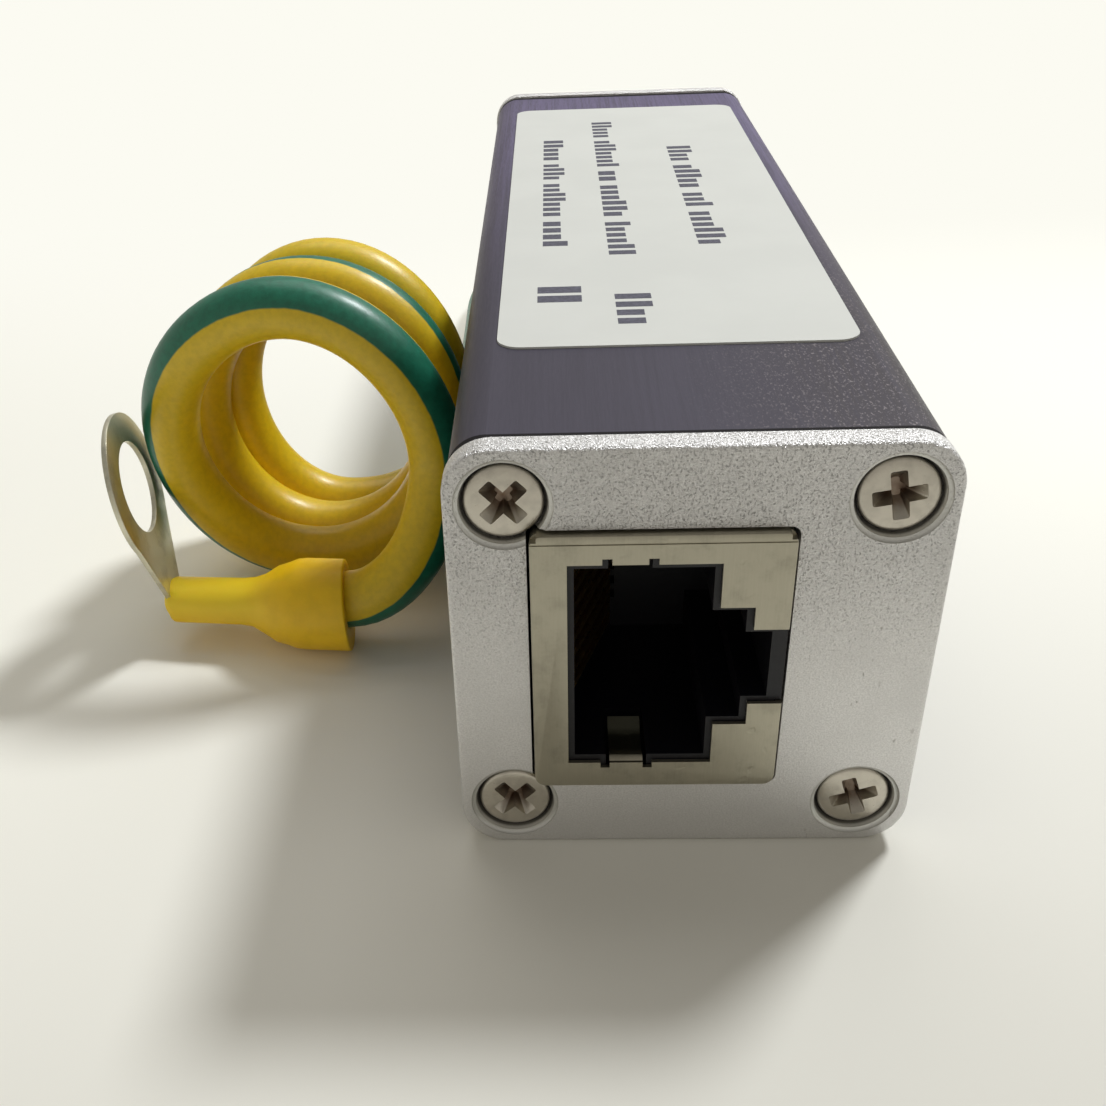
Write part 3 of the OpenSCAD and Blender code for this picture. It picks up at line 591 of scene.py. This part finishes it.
def coil_point(turn):
    """A point of the wound part; turn 0 is the first crossing on the right."""
    angle = FULL_TURN * turn
    first = max(0.0, 1 - abs(turn - 0.3) / 0.6)
    last = 0.3 * min(1.0, max(0.0, (turn - 1.75) / 0.5))
    width = 9.9 - 0.5 * turn - last + 0.25 * first * math.cos(2 * (angle - math.radians(147)))
    height = 10.1 + 0.3 * first * max(0.0, math.sin(angle))
    if turn < COIL_DEPTHS[-1][0]:
        depth = between(COIL_DEPTHS, turn)
    else:
        depth = COIL_DEPTHS[-1][1] + COIL_PITCH * (turn - COIL_DEPTHS[-1][0]) + 0.5 * (1 + math.sin(angle))
    lean = Vector((0.22, -1.0, 0.35)) * between(COIL_LEAN, turn)
    return Vector((-25 + 0.5 * turn + last + width * math.cos(angle), depth, 12.15 + height * math.sin(angle))) + lean


def curve_through(points, step):
    """Even points on a smooth curve through the given ones."""
    points = [Vector(point) for point in points]
    padded = [2 * points[0] - points[1]] + points + [2 * points[-1] - points[-2]]
    dense = []
    for before, start, end, after in zip(padded, padded[1:], padded[2:], padded[3:]):
        for index in range(12):
            t = index / 12
            dense.append(0.5 * (2 * start + (end - before) * t + (2 * before - 5 * start + 4 * end - after) * t * t
                                + (3 * start - before - 3 * end + after) * t ** 3))
    dense.append(points[-1])
    for _ in range(30):
        dense = [dense[0], dense[1]] + [(a + 2 * b + c) / 4 for a, b, c in zip(dense[1:], dense[2:], dense[3:])] + [dense[-1]]
    lengths = [0.0]
    for a, b in zip(dense, dense[1:]):
        lengths.append(lengths[-1] + (b - a).length)
    count = round(lengths[-1] / step)
    even, index = [], 0
    for number in range(count + 1):
        target = lengths[-1] * number / count
        while index < len(lengths) - 2 and lengths[index + 1] < target:
            index += 1
        span = lengths[index + 1] - lengths[index] or 1
        even.append(dense[index].lerp(dense[index + 1], (target - lengths[index]) / span))
    return even


def lead_path():
    steps = round(COIL_TURNS * COIL_POINTS_PER_TURN)
    wound = [coil_point(COIL_TURNS * (1 - index / steps)) for index in range(steps + 1)]
    return curve_through(REAR_ROUTE + tuple(wound) + FRONT_ROUTE, 0.7)


def directions(path):
    """Unit tangents of a path."""
    ends = [path[0]] + list(path) + [path[-1]]
    return [(after - before).normalized() for before, after in zip(ends, ends[2:])]


def stripe_directions(path, tangents):
    """Where the stripe faces at each ring: set round the coil, untwisted along the rear run."""
    rear_end = max(range(len(path)), key=lambda i: (path[i].y < -2 and path[i].x < -23.4) * (len(path) - i))
    sides = [None] * len(path)
    angle, turn, last = None, COIL_TURNS, None
    for index in range(rear_end, len(path)):
        out = path[index] - COIL_MIDDLE
        out.y = 0
        angle = math.atan2(out.z, out.x)
        if last is not None:
            change = (angle - last + math.pi) % FULL_TURN - math.pi
            turn += change / FULL_TURN
        last = angle
        radial = (out - out.project(tangents[index])).normalized()
        front = tangents[index].cross(radial)
        if front.y > 0:
            front.negate()
        lean = math.radians(between(STRIPE_SIDE, max(turn, 0)))
        sides[index] = radial * math.cos(lean) + front * math.sin(lean)
    for index in range(rear_end - 1, -1, -1):
        carried = sides[index + 1]
        sides[index] = (carried - carried.project(tangents[index])).normalized()
    return sides


def striped_tube(path, radius, sides=36):
    """A tube along the path with its stripe angle and run length kept on every vertex."""
    bm = bmesh.new()
    stripe = bm.verts.layers.float.new("stripe")
    along = bm.verts.layers.float.new("along")
    tangents = directions(path)
    facing = stripe_directions(path, tangents)
    frames = []
    for centre, tangent, face in zip(path, tangents, facing):
        across = tangent.cross(face)
        frames.append(Matrix(((face.x, across.x, tangent.x, centre.x), (face.y, across.y, tangent.y, centre.y),
                              (face.z, across.z, tangent.z, centre.z), (0, 0, 0, 1))))
    ring = bmesh.ops.create_circle(bm, segments=sides, radius=radius)["verts"]
    bmesh.ops.transform(bm, matrix=frames[0], verts=ring)
    edges = list({edge for vert in ring for edge in vert.link_edges})
    first_edges, run = edges, 0.0
    for index, place in enumerate(frames):
        if index:
            made = bmesh.ops.extrude_edge_only(bm, edges=edges)["geom"]
            ring = [item for item in made if isinstance(item, bmesh.types.BMVert)]
            edges = [item for item in made if isinstance(item, bmesh.types.BMEdge)
                     and item.verts[0] in ring and item.verts[1] in ring]
            bmesh.ops.transform(bm, matrix=place @ frames[index - 1].inverted(), verts=ring)
            run += (path[index] - path[index - 1]).length
        for vert in ring:
            vert[stripe] = (vert.co - path[index]).normalized().dot(facing[index])
            vert[along] = run
    bmesh.ops.edgeloop_fill(bm, edges=first_edges)
    bmesh.ops.edgeloop_fill(bm, edges=edges)
    return bm


BOOT_START = Vector((-34.5, -19.44, 2.96))
BOOT_END = Vector((-21.3, -21.1, 3.3))


def boot_place():
    """Puts Z along the boot's axis, Y up."""
    axis = (BOOT_END - BOOT_START).normalized()
    side = Vector((0, 0, 1)).cross(axis).normalized()
    up = axis.cross(side)
    side.negate()
    place = Matrix((side, up, axis)).transposed().to_4x4()
    place.translation = BOOT_START
    return place


def boot_shape(sizes):
    """Outer and inner rings of the boot as (distance, half height, half width, lift, crease)."""
    wide, neck = sizes.boot_diameter / 2 / MM, sizes.boot_neck / 2 / MM
    return ((1.6, 0.62, 1.36, 0.0, 0.0), (0.1, 0.62, 1.36, 0.0, 0.0), (-0.1, 1.0, 1.5, 0.0, 0.0),
            (0.05, neck - 0.28, neck - 0.12, 0.0, 0.1), (0.35, neck - 0.12, neck, 0.0, 0.16),
            (2.5, neck - 0.12, neck + 0.02, 0.02, 0.2), (5.2, neck - 0.08, neck, 0.02, 0.18),
            (6.1, neck + 0.06, neck + 0.04, 0.0, 0.12), (6.9, neck + 0.45, neck + 0.35, -0.12, 0.06),
            (7.9, neck + 1.05, neck + 0.92, -0.1, 0.02), (8.7, wide - 0.28, wide - 0.28, -0.02, 0.0),
            (9.3, wide - 0.06, wide - 0.06, 0.0, 0.0), (9.9, wide, wide, 0.0, 0.0),
            (12.78, wide, wide, 0.0, 0.0), (12.9, wide - 0.03, wide - 0.03, 0.0, 0.0),
            (12.96, wide - 0.12, wide - 0.12, 0.0, 0.0), (12.96, 2.2, 2.2, 0.46, 0.0),
            (12.85, 2.06, 2.06, 0.48, 0.0), (11.6, 2.05, 2.05, 0.42, 0.0))


def lofted(rings, place, sides=48):
    """A tube lofted through rings of (distance, half height, half width, lift, crease)."""
    bm = bmesh.new()
    ring = bmesh.ops.create_circle(bm, segments=sides, radius=1.0)["verts"]
    edges = list({edge for vert in ring for edge in vert.link_edges})
    shape = [(vert, vert.co.copy()) for vert in ring]
    for index, (distance, high, wide, lift, crease) in enumerate(rings):
        if index:
            order = {vert.co.copy().freeze(): unit for vert, unit in shape}
            made = bmesh.ops.extrude_edge_only(bm, edges=edges)["geom"]
            fresh = [item for item in made if isinstance(item, bmesh.types.BMVert)]
            edges = [item for item in made if isinstance(item, bmesh.types.BMEdge)
                     and item.verts[0] in fresh and item.verts[1] in fresh]
            shape = [(vert, order[vert.co.copy().freeze()]) for vert in fresh]
        for vert, unit in shape:
            ridge = crease * max(0.0, 1 - abs(math.atan2(unit.y, abs(unit.x)) + 0.42) / 0.5) ** 2
            slant = 0.28 * unit.y * (distance < 0.5 and high > 0.9) - 0.2 * unit.x * wide * (distance > 12.5)
            vert.co = Vector((unit.x * wide * (1 + ridge), unit.y * high * (1 + 0.3 * ridge) + lift, distance - slant))
    ends = [[edge for edge in bm.edges if edge.is_boundary]]
    bmesh.ops.holes_fill(bm, edges=ends[0], sides=sides + 1)
    bmesh.ops.transform(bm, matrix=place, verts=bm.verts)
    return bm


LUG_MIDDLE = Vector((-36, -18.42, 11.55))
LUG_LEAN = math.radians(9.5)
LUG_TURN = math.radians(4.7)
LUG_FOOT = 8.9


def lug_shape(sizes):
    """A stamped ring with a tapering neck and a crimped barrel that goes into the boot."""
    half, edge = sizes.lug_sheet / 2 / MM, sizes.lug_edge / MM
    ring = lathe([(0, -half), (5.2, -half), (5.2, half), (0, half)], 72)
    neck = bmesh.new()
    for vert in block(neck, (-2.05, -LUG_FOOT, -half), (0.05, -2.6, half)):
        if vert.co.y > -3:
            vert.co.x = math.copysign(4.45, vert.co.x + 1)
    flat = combine(ring, neck, "UNION")
    hole = lathe([(0, -1), (3.2, -1), (3.2, 1), (0, 1)], 56)
    flat = combine(flat, hole)
    bmesh.ops.remove_doubles(flat, verts=flat.verts, dist=1e-3)
    round_sharp(flat, edge, 3, 50)
    place = (Matrix.Translation(LUG_MIDDLE) @ Matrix.Rotation(LUG_TURN, 4, "Z") @ Matrix.Rotation(-LUG_LEAN, 4, "Y")
             @ Matrix(((0, 0, 1, 0), (1, 0, 0, 0), (0, 1, 0, 0), (0, 0, 0, 1))))
    bmesh.ops.transform(flat, matrix=place, verts=flat.verts)
    barrel = lathe([(0, 0.15), (0.9, 0.15), (1.1, 0.35), (1.1, 7.8), (0.9, 8), (0, 8)], 32)
    tongue = bmesh.new()
    block(tongue, (-1.0, -half, -0.4), (1.0, half, 1.0))
    barrel = combine(barrel, tongue, "UNION")
    bmesh.ops.transform(barrel, matrix=boot_place(), verts=barrel.verts)
    mesh = bpy.data.meshes.new("barrel")
    barrel.to_mesh(mesh)
    barrel.free()
    flat.from_mesh(mesh)
    bpy.data.meshes.remove(mesh)
    return flat


class PROTECTOR_OT_camera(Operator):
    """Places the camera of the catalogue view"""
    bl_idname = "protector.camera"
    bl_label = "Camera"

    def execute(self, context):
        lens = bpy.data.cameras.new("catalogue view")
        lens.lens, lens.sensor_width, lens.shift_x, lens.shift_y = 40.63, 36.0, 0.0487, 0.0570
        lens.clip_start = 0.005
        camera = bpy.data.objects.new("catalogue_view", lens)
        camera.location = Vector((-6.893, -94.666, 50.691)) * MM
        camera.rotation_euler = [math.radians(angle) for angle in (56.6266, 2.16, 1.8298)]
        context.collection.objects.link(camera)
        context.scene.camera = camera
        return {"FINISHED"}


class PROTECTOR_OT_lead(Operator):
    """Winds the striped earth lead with its boot and lug"""
    bl_idname = "protector.lead"
    bl_label = "Earth lead"

    def execute(self, context):
        sizes, colours = context.scene.protector_sizes, context.scene.protector_colours
        path = lead_path()
        jacket = lead_finish(colours, sizes.stripe_angle)
        lead = finish_piece("earth_lead", striped_tube(path, sizes.lead_diameter / 2 / MM), jacket,
                            ("ground_wire", "ground_wire_coil", "ground_wire_end"))
        boot = finish_piece("lug_boot", lofted(boot_shape(sizes), boot_place()), boot_finish(colours),
                            ("terminal_boot",), sharp=50)
        tinned = nickel_finish("tinned lug", colours.tin, (1, 1, 0.2), 0.6, 0.8)
        lug = finish_piece("ring_lug", lug_shape(sizes), tinned, ("ring_terminal",), sharp=50)
        dress(jacket, "ground_wire_tail")
        length = sum((b - a).length for a, b in zip(path, path[1:]))
        [tuple(point * MM) for point in path]
        return {"FINISHED"}


# Screws

CROSS_TURNS = {"screw_front_1": 45, "screw_front_2": 10, "screw_front_3": 42, "screw_front_4": 18,
               "screw_rear_1": 30, "screw_rear_2": 12, "screw_rear_3": 50, "screw_rear_4": 75}
THREAD_PITCH = 0.45
CROSS_DEPTH = 1.0


def screw_shape(sizes):
    """A countersunk screw, head up at Z = 0, with a tapered cross recess."""
    edge = sizes.head_edge / MM
    profile = [(0, 0.05), (0.9, 0.04), (1.5, 0.015), (2 - edge, -0.015), (2 - edge * 0.6, -0.04),
               (2 - edge * 0.3, -0.09), (2 - edge * 0.08, -0.16), (2, -edge), (2, -0.26), (1.2, -1.0)]
    level = -1.3
    while level > -7.1:
        profile += [(1.2, level), (1.0, level - THREAD_PITCH / 2)]
        level -= THREAD_PITCH
    profile += [(1.0, -7.3), (0.75, -7.6), (0, -7.62)]
    head = lathe(profile, 56)
    reach, flare = sizes.cross_width / 2 / MM, sizes.cross_arm / 2 / MM
    for quarter in (0, 1):
        arm = bmesh.new()
        for vert in block(arm, (-reach, -flare, -CROSS_DEPTH), (reach, flare, 0.1)):
            if vert.co.z < 0:
                vert.co.x *= 0.36
                vert.co.y *= 0.5
        ends = [edge for edge in arm.edges if abs(edge.verts[0].co.z - edge.verts[1].co.z) > 0.5]
        round_edges(arm, ends, 0.1, 2)
        bmesh.ops.rotate(arm, verts=arm.verts, cent=(0, 0, 0), matrix=Matrix.Rotation(quarter * math.pi / 2, 3, "Z"))
        head = combine(head, arm)
    return head


class PROTECTOR_OT_screws(Operator):
    """Sets a countersunk cross screw in each corner"""
    bl_idname = "protector.screws"
    bl_label = "Screws"

    def execute(self, context):
        sizes = context.scene.protector_sizes
        pattern = screw_shape(sizes)
        depth = pattern.verts.layers.float.new("depth")
        for vert in pattern.verts:
            inside = math.hypot(vert.co.x, vert.co.y) < sizes.cross_width / 2 / MM + 0.02 and -1.2 < vert.co.z
            vert[depth] = max(0.0, -vert.co.z) if inside else 0.0
        material = screw_finish(context.scene.protector_colours)
        for name, turn in CROSS_TURNS.items():
            rear = "rear" in name
            x, y, z = middle(name)
            low, high = millimetre_box(name)
            face = high.y if rear else low.y
            place = (Matrix.Translation((x, face, z)) @ Matrix.Rotation(math.pi if rear else 0, 4, "Z")
                     @ Matrix.Rotation(math.pi / 2, 4, "X") @ Matrix.Rotation(math.radians(turn), 4, "Z"))
            screw = pattern.copy()
            bmesh.ops.transform(screw, matrix=place, verts=screw.verts)
            finish_piece(name + "_dressed", screw, material, (name,), sharp=30)
        pattern.free()
        return {"FINISHED"}


# Plates, sockets and case

PLATE_CORNER = 2.5
CUTOUT_GAP = 0.15
CUTOUT_CORNER = 0.5
POCKET_RADIUS = 2.1
POCKET_FLARE = 0.36
POCKET_LIP = 0.2
BUSH_HOLE = 2.55


def pocket_cutter():
    """What a countersunk head takes out of a plate: a soft flare, a straight wall, a cone and the thread hole."""
    profile = [(0, -1), (POCKET_RADIUS + POCKET_FLARE, -1)]
    for step in range(6):
        angle = math.radians(14 * step)
        profile.append((POCKET_RADIUS + POCKET_FLARE * math.cos(angle), POCKET_LIP * math.sin(angle) - 0.002))
    profile += [(POCKET_RADIUS, 0.6), (1.3, 1.4), (1.3, 3), (0, 3)]
    cutter = lathe(profile, 64)
    bmesh.ops.rotate(cutter, verts=cutter.verts, cent=(0, 0, 0), matrix=Matrix.Rotation(-math.pi / 2, 3, "X"))
    return cutter


def plate_shape(sizes, rear):
    """A square end plate with rounded edges, its socket cut-out and four flared pockets."""
    low, high = millimetre_box("front_plate")
    plate = rounded_block(low, high, PLATE_CORNER, 14)
    round_edges(plate, outline_at(plate, low.y), sizes.plate_edge / MM, 5)
    round_edges(plate, outline_at(plate, high.y), 0.1, 2)
    shield_low, shield_high = millimetre_box("jack_shield_front")
    gap = Vector((CUTOUT_GAP, 5, CUTOUT_GAP))
    plate = combine(plate, rounded_block(shield_low - gap, shield_high + gap, CUTOUT_CORNER))
    for number in range(1, 5):
        at = middle(f"screw_front_{number}")
        cutter = pocket_cutter()
        bmesh.ops.translate(cutter, verts=cutter.verts, vec=(at.x, low.y, at.z))
        plate = combine(plate, cutter)
    if rear:
        turned_to_rear(plate)
        hole = lathe([(0, -5), (BUSH_HOLE, -5), (BUSH_HOLE, 5), (0, 5)], 48)
        bmesh.ops.transform(hole, matrix=Matrix.Translation(LEAD_EXIT) @ Matrix.Rotation(math.pi / 2, 4, "X"),
                            verts=hole.verts)
        plate = combine(plate, hole)
    return plate


# In a socket's own frame the mouth is at Y = 0, the latch lies towards +X and the axis on Y
SHIELD_HALF = Vector((6.55, 0, 7.95))
SHIELD_LENGTH = 21.3
SHIELD_BEND = 0.6
MOUTH = ((-4.7, 3.0, 6.3), (2.6, 4.75, 3.7))
NOTCH_FROM, NOTCH_HALF, NOTCH_DEPTH = 4.4, 2.35, 1.0
SPRING_AT, SPRING_HALF = -1.55, 0.9
SPRING_ROUTE = ((0.23, 6.9), (0.23, 6.64), (0.26, 6.5), (0.35, 6.39), (0.5, 6.33), (0.66, 6.36), (0.8, 6.44),
                (1.0, 6.52), (2.3, 6.54), (2.6, 6.44), (2.9, 6.28), (3.5, 5.92))


def ribbon(route, low_x, high_x, thickness):
    """A bent strip of sheet that follows (y, z) points."""
    bm = bmesh.new()
    ends = [bm.verts.new((x, *route[0])) for x in (low_x, high_x)]
    edges = [bm.edges.new(ends)]
    for before, after in zip(route, route[1:]):
        made = bmesh.ops.extrude_edge_only(bm, edges=edges)["geom"]
        verts = [item for item in made if isinstance(item, bmesh.types.BMVert)]
        edges = [item for item in made if isinstance(item, bmesh.types.BMEdge)
                 and item.verts[0] in verts and item.verts[1] in verts]
        bmesh.ops.translate(bm, verts=verts, vec=(0, after[0] - before[0], after[1] - before[1]))
    bmesh.ops.recalc_face_normals(bm, faces=bm.faces)
    bmesh.ops.solidify(bm, geom=bm.faces[:], thickness=thickness)
    return bm


def shield_shape(sizes):
    """The folded shield: bent round the insert, with its stepped mouth, springs and relief notches."""
    sheet = sizes.sheet / MM
    outer = rounded_block((-SHIELD_HALF.x, 0, -SHIELD_HALF.z), (SHIELD_HALF.x, SHIELD_LENGTH, SHIELD_HALF.z),
                          SHIELD_BEND, 6)
    front = outline_at(outer, 0)
    bend = [edge for edge in front if all(vert.co.z > SHIELD_HALF.z - 0.02 for vert in edge.verts)]
    for edge in list(bend):
        front.remove(edge)
    round_edges(outer, front, 0.08, 2)
    bend = [edge for edge in outer.edges if all(vert.co.z > SHIELD_HALF.z - 0.02 and vert.co.y < 0.05
                                                for vert in edge.verts)]
    round_edges(outer, bend, 0.4, 6)
    inner = rounded_block((sheet - SHIELD_HALF.x, sheet, sheet - SHIELD_HALF.z),
                          (SHIELD_HALF.x - sheet, SHIELD_LENGTH - sheet, SHIELD_HALF.z - sheet), SHIELD_BEND - sheet, 6)
    shell = combine(outer, inner)
    boxes = [((low, -1, -half), (high, 1 + sheet, half)) for low, high, half in MOUTH]
    boxes.append(((NOTCH_FROM, -1, -NOTCH_HALF), (8, NOTCH_DEPTH, NOTCH_HALF)))
    boxes.append(((SHIELD_HALF.x - 2 * sheet, 17.4, -6.75), (8, 20.7, 6.75)))
    boxes.append(((-SHIELD_HALF.x - 1, -1, 7.43), (SHIELD_HALF.x + 1, 0.07, 7.5)))
    for side in (-1, 1):
        boxes.append(((side * SHIELD_HALF.x - 0.35, -1, SHIELD_HALF.z - 0.35),
                      (side * SHIELD_HALF.x + 0.35, 0.5, SHIELD_HALF.z + 1)))
        low, high = sorted((side * 6.2, side * 6.65))
        for edge in (-SPRING_HALF - 0.5, SPRING_HALF):
            boxes.append(((SPRING_AT + edge, -1, low), (SPRING_AT + edge + 0.5, 1, high)))
    shell = cut_blocks(shell, *boxes)
    for side in (-1, 1):
        spring = ribbon([(y, side * z) for y, z in SPRING_ROUTE], SPRING_AT - SPRING_HALF,
                        SPRING_AT + SPRING_HALF, 0.2)
        mesh = bpy.data.meshes.new("spring")
        spring.to_mesh(mesh)
        spring.free()
        shell.from_mesh(mesh)
        bpy.data.meshes.remove(mesh)
    return shell


class PROTECTOR_OT_case(Operator):
    """Finishes the extrusion, its end plates and the label with its grey print"""
    bl_idname = "protector.case"
    bl_label = "Case, plates and label"

    # Each line of print as (low x, high x, start y, lengths and gaps in turn)
    PRINT = ((2.9, 4.9, 17.2, (5.4, 1.1, 7.2, 1.2, 4.0, 1.1, 8.1)),
             (-3.2, -1.4, 27.3, (6.4, 1.0, 9.3, 1.1, 3.4, 1.0, 8.8, 1.1, 7.9)),
             (-7.6, -5.9, 20.6, (7.4, 1.0, 5.2, 1.0, 9.3, 1.0, 6.2)),
             (-7.9, -5.2, -18.4, (3.3,)),
             (-3.2, -1.0, -20.0, (5.6,)))
    LETTER_PITCH = 1.4
    LETTER_GAP = 0.5
    SHORT_LETTER = 0.74

    def execute(self, context):
        sizes, colours = context.scene.protector_sizes, context.scene.protector_colours
        dress(anodised_finish(colours), "housing")
        blasted = blasted_finish(colours)
        for name in ("front_plate", "rear_plate"):
            finish_piece(name + "_dressed", plate_shape(sizes, "rear" in name), blasted, (name,), sharp=32)
        dress(film_finish(colours), "label")
        top = millimetre_box("label")[1].z
        bm = bmesh.new()
        for low, high, start, runs in self.PRINT:
            at = start
            for index, run in enumerate(runs):
                if index % 2 == 0:
                    letters = max(1, round(run / self.LETTER_PITCH))
                    pitch = run / letters
                    for letter in range(letters):
                        first = at - letter * pitch
                        short = (letter * 3 + index) % 5 in (1, 2, 4)
                        head = low + (high - low) * (self.SHORT_LETTER if short else 1)
                        block(bm, (low, first - pitch + self.LETTER_GAP, top - 0.005), (head, first, top + 0.012))
                at -= run
        finish_piece("label_print", bm, ink_finish(colours))
        return {"FINISHED"}


class PROTECTOR_OT_sockets(Operator):
    """Finishes the shields, inserts and contacts"""
    bl_idname = "protector.sockets"
    bl_label = "Sockets"

    def execute(self, context):
        sizes, colours = context.scene.protector_sizes, context.scene.protector_colours
        mouth = middle("jack_shield_front")
        mouth.y = millimetre_box("jack_shield_front")[0].y
        nickel = nickel_finish("nickel shield", colours.shield, (1, 1, 0.06), 0.45, shade_within=-mouth.y - 0.8)
        for name in ("jack_shield_front", "jack_shield_rear"):
            shield = shield_shape(sizes)
            bmesh.ops.translate(shield, verts=shield.verts, vec=mouth)
            if "rear" in name:
                turned_to_rear(shield)
            finish_piece(name + "_dressed", shield, nickel, (name,), sharp=32)
        dress(plastic_finish("black insert", colours.plastic), "jack_insert_front", "jack_insert_rear")
        dress(gold_finish(colours), "jack_contacts_front", "jack_contacts_rear")
        return {"FINISHED"}


class PROTECTOR_OT_inside(Operator):
    """Finishes the board and what it carries"""
    bl_idname = "protector.inside"
    bl_label = "Board and parts"

    def execute(self, context):
        colours = context.scene.protector_colours
        dress(board_finish(colours), "circuit_board")
        dress(gas_tube_finish(colours), *(f"gas_tube_{number}" for number in range(1, 5)))
        dress(plastic_finish("diode array", srgb(34, 34, 38), 0.45), *(f"diode_array_{number}" for number in range(1, 5)))
        dress(nickel_finish("tinned terminal", colours.tin, (1, 1, 1), 0.4, 0.9), "earth_terminal")
        dress(plastic_finish("rubber bush", srgb(38, 38, 40), 0.55, 0.4), "wire_bush")
        return {"FINISHED"}


class PROTECTOR_OT_studio(Operator):
    """Sets the pale floor, the key light and the surrounding light"""
    bl_idname = "protector.studio"
    bl_label = "Studio"

    def execute(self, context):
        bm = bmesh.new()
        bmesh.ops.create_grid(bm, x_segments=1, y_segments=1, size=3.0)
        mesh = bpy.data.meshes.new("floor")
        bm.to_mesh(mesh)
        bm.free()
        floor = bpy.data.objects.new("floor", mesh)
        context.collection.objects.link(floor)
        mesh.materials.append(floor_finish(context.scene.protector_colours))
        self.lamp("key", (0.189, 0.169, 0.367), "DISK", 0.085, 1.5, (0.96, 0.98, 1.0))
        self.lamp("softbox", (-0.06, 0.30, 0.60), "SQUARE", 0.45, 0.9, (1.0, 0.99, 0.97))
        world = bpy.data.worlds.new("studio")
        world.use_nodes = True
        tree = world.node_tree

        def node(kind, **settings):
            made = tree.nodes.new("ShaderNode" + kind)
            for key, value in settings.items():
                setattr(made, key, value)
            return made

        light, place, split = node("LightPath"), node("TexCoord"), node("SeparateXYZ")
        horizon = node("MapRange", interpolation_type="SMOOTHSTEP")
        horizon.inputs["From Max"].default_value = 0.9
        horizon.inputs["To Min"].default_value, horizon.inputs["To Max"].default_value = 0.50, 0.24
        tree.links.new(place.outputs["Generated"], split.inputs[0])
        tree.links.new(split.outputs["Z"], horizon.inputs["Value"])
        ambient = tree.nodes["Background"]
        ambient.inputs["Color"].default_value = (1.0, 0.95, 0.86, 1.0)
        tree.links.new(horizon.outputs["Result"], ambient.inputs["Strength"])
        seen = node("Background")
        seen.inputs["Color"].default_value = srgb(252, 251, 242)
        choose = node("MixShader")
        tree.links.new(light.outputs["Is Camera Ray"], choose.inputs[0])
        tree.links.new(ambient.outputs[0], choose.inputs[1])
        tree.links.new(seen.outputs[0], choose.inputs[2])
        tree.links.new(choose.outputs[0], tree.nodes["World Output"].inputs["Surface"])
        context.scene.world = world
        context.scene.view_settings.view_transform = "Standard"
        return {"FINISHED"}

    def lamp(self, name, place, shape, size, energy, colour):
        """An area lamp that faces the middle of the group."""
        light = bpy.data.lights.new(name, "AREA")
        light.shape, light.size, light.energy, light.color = shape, size, energy, colour
        lamp = bpy.data.objects.new(name, light)
        lamp.location = place
        aim = Vector(place) - Vector((-0.008, -0.01, 0.01))
        lamp.rotation_euler = aim.to_track_quat("Z", "Y").to_euler()
        bpy.context.collection.objects.link(lamp)


STEPS = (PROTECTOR_OT_camera, PROTECTOR_OT_lead, PROTECTOR_OT_screws, PROTECTOR_OT_case, PROTECTOR_OT_sockets,
         PROTECTOR_OT_inside, PROTECTOR_OT_studio)


class PROTECTOR_PT_steps(Panel):
    """Lists the steps and the values that they use"""
    bl_label = "Inline surge protector"
    bl_idname = "PROTECTOR_PT_steps"
    bl_space_type = "VIEW_3D"
    bl_region_type = "UI"
    bl_category = "Protector"

    def draw(self, context):
        for group in (context.scene.protector_sizes, context.scene.protector_colours):
            box = self.layout.box()
            for name in group.__annotations__:
                box.prop(group, name)
        for step in STEPS:
            self.layout.operator(step.bl_idname)


CLASSES = (ProtectorSizes, ProtectorColours, *STEPS, PROTECTOR_PT_steps)


def register():
    for item in CLASSES:
        bpy.utils.register_class(item)
    bpy.types.Scene.protector_sizes = PointerProperty(type=ProtectorSizes)
    bpy.types.Scene.protector_colours = PointerProperty(type=ProtectorColours)


def unregister():
    del bpy.types.Scene.protector_colours
    del bpy.types.Scene.protector_sizes
    for item in reversed(CLASSES):
        bpy.utils.unregister_class(item)


def main():
    register()
    for step in STEPS:
        group, name = step.bl_idname.split(".")
        getattr(getattr(bpy.ops, group), name)()
    bpy.context.view_layer.update()


if __name__ == "__main__":
    main()
